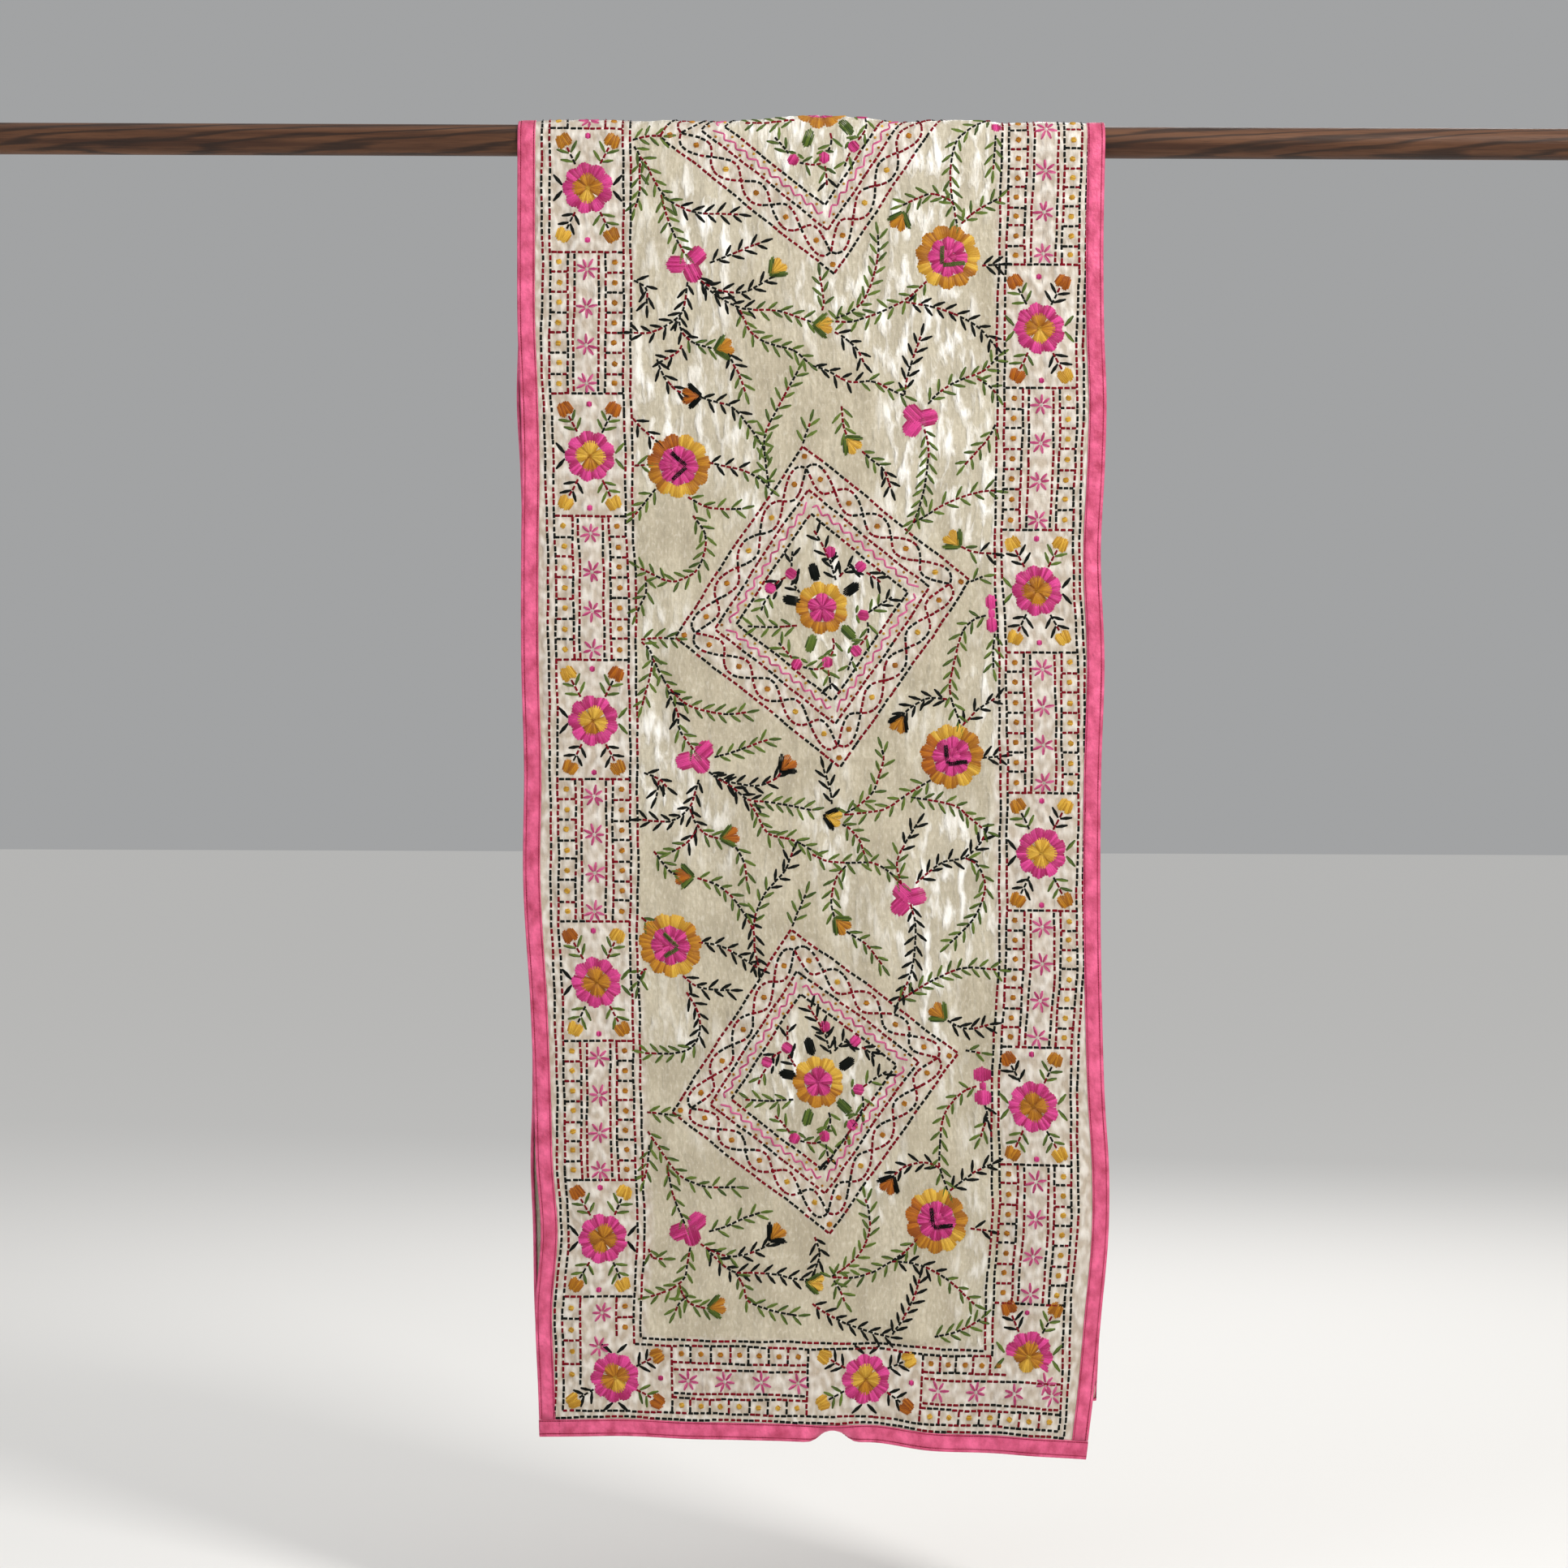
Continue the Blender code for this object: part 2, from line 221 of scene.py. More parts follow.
# The lattice that the low relief of the cloth is worked out on
RELIEF_STEP_ACROSS = 0.0020
RELIEF_STEP_ALONG = 0.0030
RELIEF_COLUMNS = round(STOLE_WIDTH / RELIEF_STEP_ACROSS) + 1
RELIEF_ROWS = round((FRONT_LENGTH + BACK_LENGTH) / RELIEF_STEP_ALONG) + 1
LATTICE_ACROSS = (np.arange(RELIEF_COLUMNS) - (RELIEF_COLUMNS - 1) / 2) * RELIEF_STEP_ACROSS
LATTICE_ALONG = np.arange(RELIEF_ROWS) * RELIEF_STEP_ALONG - BACK_LENGTH

# Uneven streaks: how high they are, how wide across the stole and how long along it
Streaks = namedtuple("Streaks", "height width length")
RELIEF_STREAKS = (
    Streaks(0.00022, 0.0030, 0.014),
    Streaks(0.00045, 0.0075, 0.030),
    Streaks(0.00060, 0.022, 0.060),
)
CREASE_WANDER = Streaks(0.0012, 0.020, 0.010)
CREASE_STRENGTH = Streaks(0.55, 0.030, 0.010)
# Broad patches of painted sheen on the silk
PAINTED_SHEEN_PATCHES = Streaks(1.0, 0.020, 0.040)
PRESSED_FLAT = 0.008

# Creases from folding for the shelf, by the pixel row each crosses the middle at
Crease = namedtuple("Crease", "pixel_y height slope")
PACKING_CREASES = (
    Crease(573, 0.00060, 0.010),
    Crease(935, 0.00110, -0.004),
    Crease(1290, 0.00065, 0.006),
    Crease(1645, 0.00075, -0.008),
)
CREASE_HALF_WIDTH = 0.0034

# How far apart the borders of the two ends are where they meet over the rod, and the length
# that the back's lines take to join the front's
BORDER_STEP = 0.0072
BORDER_JOIN_LENGTH = 0.25

NO_TRIANGLES = np.zeros((0, 3), int)

# Seeds of all that is random
RELIEF_SEED = 11
PAINTED_SHEEN_SEED = 17
FIRST_BINDING_SEED = 21
SEAM_SEED = 31
FRONT_SEWING_SEED = 3
BACK_SEWING_SEED = 5


def smooth_step(value):
    held = np.clip(value, 0.0, 1.0)
    return held * held * (3.0 - 2.0 * held)


def curve_through(rows, known, wanted, at):
    """A smooth curve through a table: column wanted at each value of column known."""
    x = np.array([getattr(row, known) for row in rows])
    y = np.array([getattr(row, wanted) for row in rows])
    slope = np.gradient(y, x)
    held = np.clip(at, x[0], x[-1])
    left = np.clip(np.searchsorted(x, held) - 1, 0, len(x) - 2)
    width = x[left + 1] - x[left]
    t = (held - x[left]) / width
    start, end = y[left], y[left + 1]
    rise, fall = slope[left] * width, slope[left + 1] * width
    return (
        start * (2 * t**3 - 3 * t**2 + 1)
        + rise * (t**3 - 2 * t**2 + t)
        + end * (3 * t**2 - 2 * t**3)
        + fall * (t**3 - t**2)
    )


def fold_depth(folds, across, drop, full_drop):
    """How far the soft folds push the cloth away from the rod's side."""
    depth = np.zeros_like(across)
    for fold in folds:
        middle = fold.across + fold.lean * drop
        swell = smooth_step((drop - fold.start) / (full_drop - fold.start))
        depth += fold.depth * swell * np.exp(-(((across - middle) / fold.half_width) ** 2))
    return depth


def hem_curl(across, above_hem):
    """How the turned-under stretch moves the hem back and up from where it would hang."""
    window = 1.0 - smooth_step(np.abs(across - CURL_ACROSS) / CURL_HALF_WIDTH)
    turn = CURL_ANGLE * window / CURL_REACH + LEAST_TURN
    run = np.clip(CURL_REACH - above_hem, 0.0, None)
    back = (1.0 - np.cos(turn * run)) / turn
    up = run - np.sin(turn * run) / turn
    return back, up


def between_edges(edges, across, drop):
    """How far right of the rod's middle a place hangs, by the stole's outline at its drop."""
    left, right = (curve_through(edges, "drop", side, drop) for side in ("left", "right"))
    return left + (across / STOLE_WIDTH + 0.5) * (right - left)


def fall_points(across, drop, end):
    """Points of one hanging end, by the drop below the rod's axis."""
    skew = -end.side * curve_through(HEM_SKEWS, "across", "lower", across)
    lower = drop + skew * np.clip(drop / end.drop, 0.0, HEM_SKEW_LIMIT) ** HEM_SKEW_POWER
    y = end.side * (RIDGE_RADIUS + fold_depth(end.folds, across, drop, end.drop))
    z = -lower
    if end is FRONT:
        back, up = hem_curl(across, end.drop - drop)
        y = y + back
        z = z + up
    return np.stack([between_edges(end.edges, across, lower), y, z], axis=-1)


def over_rod_points(across, along):
    """Points of the stretch that bends over the rod."""
    angle = along / RIDGE_RADIUS
    lift = np.clip(curve_through(RIDGE_LIFTS, "across", "height", across), 0.0, None)
    y = -RIDGE_RADIUS * np.sin(angle)
    z = RIDGE_RADIUS * np.cos(angle) + lift * np.clip(np.cos(angle), 0.0, 1.0) ** 2
    return np.stack([between_edges(FRONT_EDGES, across, 0.0), y, z], axis=-1)


def middle_points(across, along):
    """Points midway through the panel's wall."""
    across, along = np.broadcast_arrays(across, along)
    drop = np.abs(along) - QUARTER_TURN
    front, back = (fall_points(across, drop, end) for end in (FRONT, BACK))
    hanging = np.where((along > 0)[..., None], front, back)
    return np.where((drop > 0)[..., None], hanging, over_rod_points(across, along))


def cloth_points(across, along, raised):
    """Points at a height over the middle of the wall, positive on the embroidered side."""
    down = middle_points(across, along + SLOPE_STEP) - middle_points(across, along - SLOPE_STEP)
    over = middle_points(across + SLOPE_STEP, along) - middle_points(across - SLOPE_STEP, along)
    outward = np.cross(down, over)
    outward /= np.linalg.norm(outward, axis=-1, keepdims=True)
    return middle_points(across, along) + outward * np.asarray(raised)[..., None]


def flat_place(pixel_x, pixel_y):
    """The place (across, along) on the flat stole that a pixel of the photograph shows."""
    over, down = pixel_x - PHOTO_MIDDLE, pixel_y - PHOTO_MIDDLE
    x = CAMERA_X + (over - CAMERA_ROLL * down) * PIXEL
    z = seen_z = CAMERA_Z - (down + CAMERA_ROLL * over) * PIXEL
    for _ in range(4):
        # The cloth over the rod lies a little behind the plane that a pixel's size is given in.
        y = -math.sqrt(max(0.0, RIDGE_RADIUS**2 - max(z, 0.0) ** 2))
        z = seen_z + (seen_z - CAMERA_Z) * (y - CLOTH_PLANE_Y) / CAMERA_DISTANCE
    lower = max(0.0, -z)
    left, right = (curve_through(FRONT_EDGES, "drop", side, lower) for side in ("left", "right"))
    across = ((x - left) / (right - left) - 0.5) * STOLE_WIDTH
    if z > 0.0:
        return np.array([across, RIDGE_RADIUS * math.acos(min(HIGHEST_SEEN, z / RIDGE_RADIUS))])
    skew = curve_through(HEM_SKEWS, "across", "lower", across)
    drop = lower
    for _ in range(3):
        drop = lower - skew * (drop / FRONT_DROP) ** HEM_SKEW_POWER
    return np.array([across, QUARTER_TURN + drop])


def behind(across, along):
    """The place on the back end that matches one on the front end: the pattern turned half round."""
    along = np.asarray(along)
    join = BORDER_STEP * (1.0 - smooth_step(along / BORDER_JOIN_LENGTH))
    return join - np.asarray(across), -along * BACK_LENGTH / FRONT_LENGTH


def gaussian_blur(values, width, axis):
    reach = math.ceil(3 * width)
    kernel = np.exp(-0.5 * (np.arange(-reach, reach + 1) / width) ** 2)
    kernel /= kernel.sum()
    return np.apply_along_axis(np.convolve, axis, values, kernel, mode="same")


class Grid:
    """Values where the rows and columns of a grid on the flat stole cross, and at places between."""

    def __init__(self, values, columns=LATTICE_ACROSS, rows=LATTICE_ALONG):
        self.values = values
        self.columns = columns
        self.rows = rows

    def at(self, across, along):
        rows, columns, values = self.rows, self.columns, self.values
        top = np.clip(np.searchsorted(rows, along) - 1, 0, len(rows) - 2)
        left = np.clip(np.searchsorted(columns, across) - 1, 0, len(columns) - 2)
        down = np.clip((along - rows[top]) / (rows[top + 1] - rows[top]), 0.0, 1.0)
        over = np.clip((across - columns[left]) / (columns[left + 1] - columns[left]), 0.0, 1.0)
        upper = values[top, left] * (1 - over) + values[top, left + 1] * over
        lower = values[top + 1, left] * (1 - over) + values[top + 1, left + 1] * over
        return upper * (1 - down) + lower * down


def streaks(rng, kind):
    """Uneven streaks on the relief's lattice."""
    noise = rng.standard_normal((RELIEF_ROWS, RELIEF_COLUMNS))
    noise = gaussian_blur(noise, kind.length / RELIEF_STEP_ALONG, 0)
    noise = gaussian_blur(noise, kind.width / RELIEF_STEP_ACROSS, 1)
    return kind.height * (noise / noise.std())


def crease_lengths():
    """Where each packing crease crosses the middle of the stole, on both ends."""
    front = [flat_place(ROD_PIXEL_X, crease.pixel_y)[1] for crease in PACKING_CREASES]
    back = [float(behind(0.0, along)[1]) for along in front]
    return list(zip(front, PACKING_CREASES)) + list(zip(back, PACKING_CREASES))


def relief_lattice():
    """How much the face stands above its mean height."""
    rng = np.random.default_rng(RELIEF_SEED)
    across, along = LATTICE_ACROSS[None, :], LATTICE_ALONG[:, None]
    relief = sum(streaks(rng, kind) for kind in RELIEF_STREAKS)
    wander = streaks(rng, CREASE_WANDER)
    strength = 1.0 + streaks(rng, CREASE_STRENGTH)
    for length, crease in crease_lengths():
        off = (along - length - crease.slope * across - wander) / CREASE_HALF_WIDTH
        relief += crease.height * strength * np.exp(-(off**2))
    # The bindings press the cloth flat.
    from_side = PANEL_HALF - BINDING_REACH - np.abs(across)
    from_hem = np.minimum(FRONT_LENGTH - along, along + BACK_LENGTH) - BINDING_WIDTH
    return Grid(relief * smooth_step(np.minimum(from_side, from_hem) / PRESSED_FLAT))


def new_mesh(name, points, quads, material, flat=None, triangles=NO_TRIANGLES, **attributes):
    """A smooth mesh object from arrays, with a map of flat places and values at its points."""
    mesh = bpy.data.meshes.new(name)
    corners = np.concatenate([quads.ravel(), triangles.ravel()]).astype(np.int32)
    sizes = np.concatenate([np.full(len(quads), 4), np.full(len(triangles), 3)]).astype(np.int32)
    starts = np.concatenate([[0], np.cumsum(sizes)[:-1]]).astype(np.int32)
    mesh.vertices.add(len(points))
    mesh.vertices.foreach_set("co", np.ascontiguousarray(points, np.float32).ravel())
    mesh.loops.add(len(corners))
    mesh.loops.foreach_set("vertex_index", corners)
    mesh.polygons.add(len(sizes))
    mesh.polygons.foreach_set("loop_start", starts)
    mesh.update(calc_edges=True)
    mesh.validate()
    if flat is not None:
        layer = mesh.uv_layers.new(name="surface")
        layer.data.foreach_set("uv", flat[corners].astype(np.float32).ravel())
    for key, values in attributes.items():
        attribute = mesh.attributes.new(key, "FLOAT", "POINT")
        attribute.data.foreach_set("value", np.ascontiguousarray(values, np.float32))
    mesh.shade_smooth()
    mesh.materials.append(material)
    obj = bpy.data.objects.new(name, mesh)
    bpy.context.scene.collection.objects.link(obj)
    return obj


def numbered(rows, columns, first=0):
    return first + np.arange(rows * columns).reshape(rows, columns)


def grid_quads(index):
    """Quads of a grid of numbered points whose faces look along down x over."""
    corners = (index[:-1, :-1], index[1:, :-1], index[1:, 1:], index[:-1, 1:])
    return np.stack(corners, axis=-1).reshape(-1, 4)


def rim_quads(rows, columns):
    """Quads that close the rim between an outer grid and an inner grid that follows it."""
    outer = numbered(rows, columns)
    ring = np.concatenate([outer[0, :], outer[1:, -1], outer[-1, -2::-1], outer[-2:0:-1, 0]])
    following = np.roll(ring, -1)
    inner = rows * columns
    return np.stack([ring, following, following + inner, ring + inner], axis=-1)


def spaced(start, end, spacing):
    return np.linspace(start, end, max(2, math.ceil(abs(end - start) / spacing) + 1))


def cloth_rows():
    """Where the cloth's rows of points lie, closer over the rod, at the hems and on creases."""
    curl_top = FRONT_HEM - CURL_REACH
    rows = np.concatenate([
        spaced(BACK_HEM, BACK_HEM + BINDING_REACH, BINDING_REACH / 3),
        spaced(BACK_HEM + BINDING_REACH, -QUARTER_TURN, FALL_SPACING)[1:],
        np.linspace(-QUARTER_TURN, QUARTER_TURN, RIDGE_ROWS + 1)[1:],
        spaced(QUARTER_TURN, curl_top, FALL_SPACING)[1:],
        spaced(curl_top, FRONT_HEM, CURL_SPACING)[1:],
    ])
    for length, _ in crease_lengths():
        reach = CREASE_ROWS[-1] + CURL_SPACING
        rows = rows[np.abs(rows - length) > reach]
        rows = np.concatenate([rows, [length + step for step in CREASE_ROWS]])
    return np.sort(rows)


def cloth_relief():
    """The face's height as the cloth's own mesh has it, so that stitches lie right on it."""
    rows = cloth_rows()
    columns = np.linspace(-PANEL_HALF, PANEL_HALF, CLOTH_COLUMNS + 1)
    along, across = np.meshgrid(rows, columns, indexing="ij")
    return Grid(relief_lattice().at(across, along), columns, rows)


def make_cloth(relief, material):
    """The cream cloth, one thin closed shell from hem to hem."""
    along, across = np.meshgrid(relief.rows, relief.columns, indexing="ij")
    face = cloth_points(across, along, FACE_HEIGHT + relief.values)
    lining = cloth_points(across, along, LINING_HEIGHT + relief.values)
    shape = across.shape
    outer = grid_quads(numbered(*shape))
    inner = grid_quads(numbered(*shape, across.size))[:, ::-1]
    quads = np.concatenate([outer, inner, rim_quads(*shape)])
    points = np.concatenate([face.reshape(-1, 3), lining.reshape(-1, 3)])
    flat = np.tile(np.stack([across, along], axis=-1).reshape(-1, 2), (2, 1))
    tint, glow = (np.tile(share(across, along).ravel(), 2) for share in (band_tint, silk_glow))
    return new_mesh("stole_cloth", points, quads, material, flat, tint=tint, glow=glow)


# How much painted sheen brightens the silk towards each end's right, upwards and inside the diamonds
PAINTED_SHEEN_RIGHTWARD = 1.5
PAINTED_SHEEN_UPWARD = 0.8
PAINTED_SHEEN_IN_DIAMONDS = 0.9
PAINTED_SHEEN_FADE = 0.1

# How the close stitching, where the silk takes a warmer tint with painted shade between its puffs, starts
# at the binding, fades into the field, and fills the diamonds
TINT_START = 0.002
TINT_START_FADE = 0.004
TINT_OVERLAP = 0.004
TINT_OVERLAP_FADE = 0.006
DIAMOND_TINT = 0.8
DIAMOND_FADE_IN = 0.05
DIAMOND_FADE_OUT = 0.04


def band_tint(across, along):
    """How far the close stitching of the borders and diamonds reaches: the silk there is painted warmer,
    partly its own tint and partly painted shade between puffs.
    """
    front = along > 0
    left = STOLE_WIDTH / 2 + across
    right = STOLE_WIDTH / 2 - across
    hem = np.where(front, FRONT_LENGTH - along, BACK_LENGTH + along)
    from_edge = np.minimum(np.minimum(left, right), hem) - BINDING_WIDTH
    left_field = np.where(front, LEFT_BORDER.field, RIGHT_BORDER.field)
    right_field = np.where(front, RIGHT_BORDER.field, LEFT_BORDER.field)
    inside = np.maximum(np.maximum(left_field - left, right_field - right), HEM_BORDER.field - hem)
    outer = smooth_step((from_edge + TINT_START) / TINT_START_FADE)
    tint = outer * smooth_step((inside + TINT_OVERLAP) / TINT_OVERLAP_FADE)
    for share in diamond_shares(across, along):
        inner = smooth_step((share - INNER_LINE) / DIAMOND_FADE_IN)
        band = inner * smooth_step((OUTER_LINE - share) / DIAMOND_FADE_OUT)
        tint = np.maximum(tint, DIAMOND_TINT * band)
    return tint


def ridge_diamond():
    """The corners of the diamond over the rod: it lies half in front and half behind."""
    left, bottom = flat_place(*RIDGE_DIAMOND_LEFT), flat_place(*RIDGE_DIAMOND_BOTTOM)
    return np.array([left, -bottom, -left, bottom])


def diamond_shares(across, along):
    """How far out in each diamond of both ends a place lies: 0 at its centre, 1 on its outer line."""
    front = [np.array([flat_place(*corner) for corner in diamond[:4]]) for diamond in DIAMONDS]
    back = [np.stack(behind(*corners.T), axis=-1) for corners in front]
    for corners in front + back + [ridge_diamond()]:
        centre = corners.mean(axis=0)
        share = np.zeros_like(across)
        for start, end in zip(corners, np.roll(corners, -1, axis=0)):
            outward = np.array([end[1] - start[1], start[0] - end[0]])
            out = (across - centre[0]) * outward[0] + (along - centre[1]) * outward[1]
            share = np.maximum(share, out / (outward @ (start - centre)))
        yield share


def silk_glow(across, along):
    """Where the silk is painted with the most sheen: in broad patches, more of them high up, on each
    end's right and inside the diamonds."""
    glow = Grid(streaks(np.random.default_rng(PAINTED_SHEEN_SEED), PAINTED_SHEEN_PATCHES)).at(across, along)
    rightward = np.where(along > 0, across, -across) / STOLE_WIDTH
    upward = 0.5 - np.abs(along) / FRONT_LENGTH
    inside = np.zeros_like(across)
    for share in diamond_shares(across, along):
        inside = np.maximum(inside, smooth_step((INNER_LINE - share) / PAINTED_SHEEN_FADE))
    return glow + PAINTED_SHEEN_RIGHTWARD * rightward + PAINTED_SHEEN_UPWARD * upward + PAINTED_SHEEN_IN_DIAMONDS * inside


# The binding's section: how far in from the panel's edge, and how high over the wall's middle.
# It dips at its two rows of stitching.
SECTION_FACE = (
    (0.0151, 0.00125),
    (0.0149, 0.00185),
    (0.0143, 0.00200),
    (0.0137, 0.00160),
    (0.0130, 0.00200),
    (0.0095, 0.00215),
    (0.0055, 0.00210),
    (0.0021, 0.00200),
    (0.0013, 0.00165),
    (0.0005, 0.00195),
)
SECTION_LINING = ((0.0002, -0.00190), (0.0010, -0.00180), (0.0015, -0.00140))
SECTION_TURNS = (60, 30, 0, -30, -60)
SEAM_REACHES = (0.0137, 0.0013)
SEAM_HEIGHT = 0.00172
BINDING_SPACING = 0.0068
HEM_BINDING_SPACING = 0.0052
SEAM_HALF_WIDTH = 0.0006
BINDING_PUCKER = 0.00016
PUCKER_BLURS = (1.2, 1.0)


def binding_section():
    """The closed section of a folded strip, and how deep each point lies in a seam."""
    outer_radius = BINDING_RADIUS + BINDING_WALL
    turns = [math.radians(angle) for angle in SECTION_TURNS]
    edge = [(-outer_radius * math.cos(a), outer_radius * math.sin(a)) for a in turns]
    inner = [(LINING_REACH, -BINDING_RADIUS), (0.0, -BINDING_RADIUS), (-BINDING_RADIUS, 0.0)]
    inner += [(0.0, BINDING_RADIUS), (BINDING_REACH, BINDING_RADIUS)]
    section = np.array([*SECTION_FACE, *edge, *SECTION_LINING, *inner])
    off = (section[:, :1] - SEAM_REACHES) / SEAM_HALF_WIDTH
    return section, np.exp(-(off**2)).max(axis=1), len(section) - len(inner)


def make_binding(name, place, lengths, material, seed, turned):
    """A folded strip: place(length, reach) gives the flat place of a point of its section."""
    section, seam, outside = binding_section()
    reach, height = section.T
    rng = np.random.default_rng(seed)
    pucker = rng.standard_normal((len(lengths), len(reach)))
    for axis, width in enumerate(PUCKER_BLURS):
        pucker = gaussian_blur(pucker, width, axis)
    swell = BINDING_PUCKER * pucker / pucker.std() * (np.arange(len(reach)) < outside)
    across, along = np.broadcast_arrays(*place(lengths[:, None], reach[None, :]))
    points = cloth_points(across, along, height + np.sign(height) * swell)
    if turned:
        points, across, along, seam = points[:, ::-1], across[:, ::-1], along[:, ::-1], seam[::-1]
    rows, columns = across.shape
    index = numbered(rows, columns)
    quads = grid_quads(np.concatenate([index, index[:, :1]], axis=1))
    fan = np.arange(1, columns - 1)
    start_cap = np.stack([np.zeros_like(fan), fan, fan + 1], axis=-1)
    end_cap = start_cap[:, ::-1] + (rows - 1) * columns
    flat = np.stack([across, along], axis=-1).reshape(-1, 2)
    caps = np.concatenate([start_cap, end_cap])
    return new_mesh(name, points.reshape(-1, 3), quads, material, flat, caps, seam=np.tile(seam, rows))


def side_binding_lengths():
    stop = BINDING_REACH + PANEL_INSET + SEAM_GAP
    return spaced(-BACK_LENGTH + stop, FRONT_LENGTH - stop, BINDING_SPACING)


def make_bindings(material):
    lengths = side_binding_lengths()
    widths = spaced(-STOLE_WIDTH / 2, STOLE_WIDTH / 2, HEM_BINDING_SPACING)
    strips = (
        ("left", lengths, lambda length, reach: (reach - PANEL_HALF, length)),
        ("right", lengths, lambda length, reach: (PANEL_HALF - reach, length)),
        ("front_hem", widths, lambda width, reach: (width, FRONT_HEM - reach)),
        ("back_hem", widths, lambda width, reach: (width, BACK_HEM + reach)),
    )
    pieces = []
    for seed, (edge, steps, place) in enumerate(strips, start=FIRST_BINDING_SEED):
        node = f"binding_{edge}"
        turned = edge in ("left", "front_hem")
        piece = make_binding(f"{edge}_binding", place, steps, material, seed, turned)
        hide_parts(node)
        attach(piece, "root")
        pieces.append(piece)
    return pieces


# Colours of the silk: its ground in two tones, mottled partly by its uneven tone and partly as painted
# light and shade; painted shade and highlights on its fine crinkles; painted sheen where it shines; its
# warmer tint with painted shade where stitches crowd it; its weft; and painted highlights on its streaks
# and puffs
SILK_GROUND = (0.435, 0.374, 0.264)
SILK_MOTTLE = (0.570, 0.502, 0.368)
SILK_CRINKLE_SHADE = (0.270, 0.226, 0.150)
SILK_CRINKLE_HIGHLIGHT = (0.74, 0.70, 0.60)
SILK_PAINTED_SHEEN = (0.68, 0.65, 0.55)
SILK_WARM_TINT_AND_SHADE = (0.45, 0.350, 0.285)
SILK_WEFT = (0.34, 0.30, 0.22)
SILK_PAINTED_HIGHLIGHT = (0.96, 0.93, 0.87)
# The silk drawn up between stitches, painted bright in two tones as a painted highlight
DRAWN_SILK_HIGHLIGHT = (0.84, 0.80, 0.71)
DRAWN_SILK_DIM_HIGHLIGHT = (0.62, 0.56, 0.46)

# Colours of the binding, the rod and the floor. The binding clouds between its shade and its pink, partly
# its own uneven tone and partly painted highlight and shade of its wrinkles
BINDING_SHADE = (0.42, 0.026, 0.088)
BINDING_PINK = (0.86, 0.130, 0.290)
BINDING_WEAVE = (0.84, 0.22, 0.35)
BINDING_SEAM = (0.30, 0.008, 0.045)
SEAM_SHADE = (0.16, 0.004, 0.022)
WALNUT_DARK = (0.050, 0.020, 0.010)
WALNUT_LIGHT = (0.130, 0.056, 0.026)
WALNUT_RINGS = (0.018, 0.010, 0.007)
WALNUT_PORES = (0.014, 0.008, 0.006)
FLOOR_COLOUR = (0.82, 0.81, 0.79)


class Look:
    """A material in the making: its colour and its bumps are laid one over another."""

    def __init__(self, name, roughness, sheen=0.0, specular=0.5):
        self.material = bpy.data.materials.new(name)
        self.material.use_nodes = True
        self.tree = self.material.node_tree
        self.shader = self.tree.nodes["Principled BSDF"]
        self.shader.inputs["Roughness"].default_value = roughness
        self.shader.inputs["Sheen Weight"].default_value = sheen
        self.shader.inputs["Specular IOR Level"].default_value = specular
        self.place = self.base = self.normal = None

    def node(self, kind, inputs, output=0, **settings):
        """A new shader node's output. An input is a value or another node's output."""
        made = self.tree.nodes.new(kind)
        for name, value in settings.items():
            setattr(made, name, value)
        for name, value in inputs.items():
            if isinstance(value, bpy.types.NodeSocket):
                self.tree.links.new(value, made.inputs[name])
            else:
                made.inputs[name].default_value = value
        return made.outputs[output]

    def value(self, name):
        return self.node("ShaderNodeAttribute", {}, "Fac", attribute_name=name)

    def noise(self, width, length, detail=2.0, depth=None, distortion=0.0):
        """A noise texture whose blotches are a width by a length, in metres."""
        if self.place is None:
            self.place = self.node("ShaderNodeUVMap", {}, uv_map="surface")
        scale = (1.0 / width, 1.0 / length, 1.0 / (depth or width))
        place = self.node("ShaderNodeMapping", {"Vector": self.place, "Scale": scale})
        inputs = {"Vector": place, "Scale": 1.0, "Detail": detail, "Distortion": distortion}
        return self.node("ShaderNodeTexNoise", inputs, "Fac")

    def times(self, first, second):
        return self.node("ShaderNodeMath", {0: first, 1: second}, operation="MULTIPLY")

    def remap(self, value, low, high, to_low=0.0, to_high=1.0):
        inputs = {"Value": value, "From Min": low, "From Max": high, "To Min": to_low, "To Max": to_high}
        return self.node("ShaderNodeMapRange", inputs)

    def paint(self, share, colour):
        """Lays a share of a colour over the colours so far."""
        below = self.base if isinstance(self.base, bpy.types.NodeSocket) else (*self.base, 1.0)
        inputs = {0: share, 6: below, 7: (*colour, 1.0)}
        self.base = self.node("ShaderNodeMix", inputs, 2, data_type="RGBA")

    def bump(self, height, distance):
        """Lays a bump over the bumps so far."""
        inputs = {"Height": height, "Distance": distance, "Strength": 1.0}
        if self.normal is not None:
            inputs["Normal"] = self.normal
        self.normal = self.node("ShaderNodeBump", inputs)

    def finished(self, roughness=None):
        made = {"Base Color": self.base, "Roughness": roughness, "Normal": self.normal}
        for name, socket in made.items():
            if socket is not None:
                self.tree.links.new(socket, self.shader.inputs[name])
        return self.material


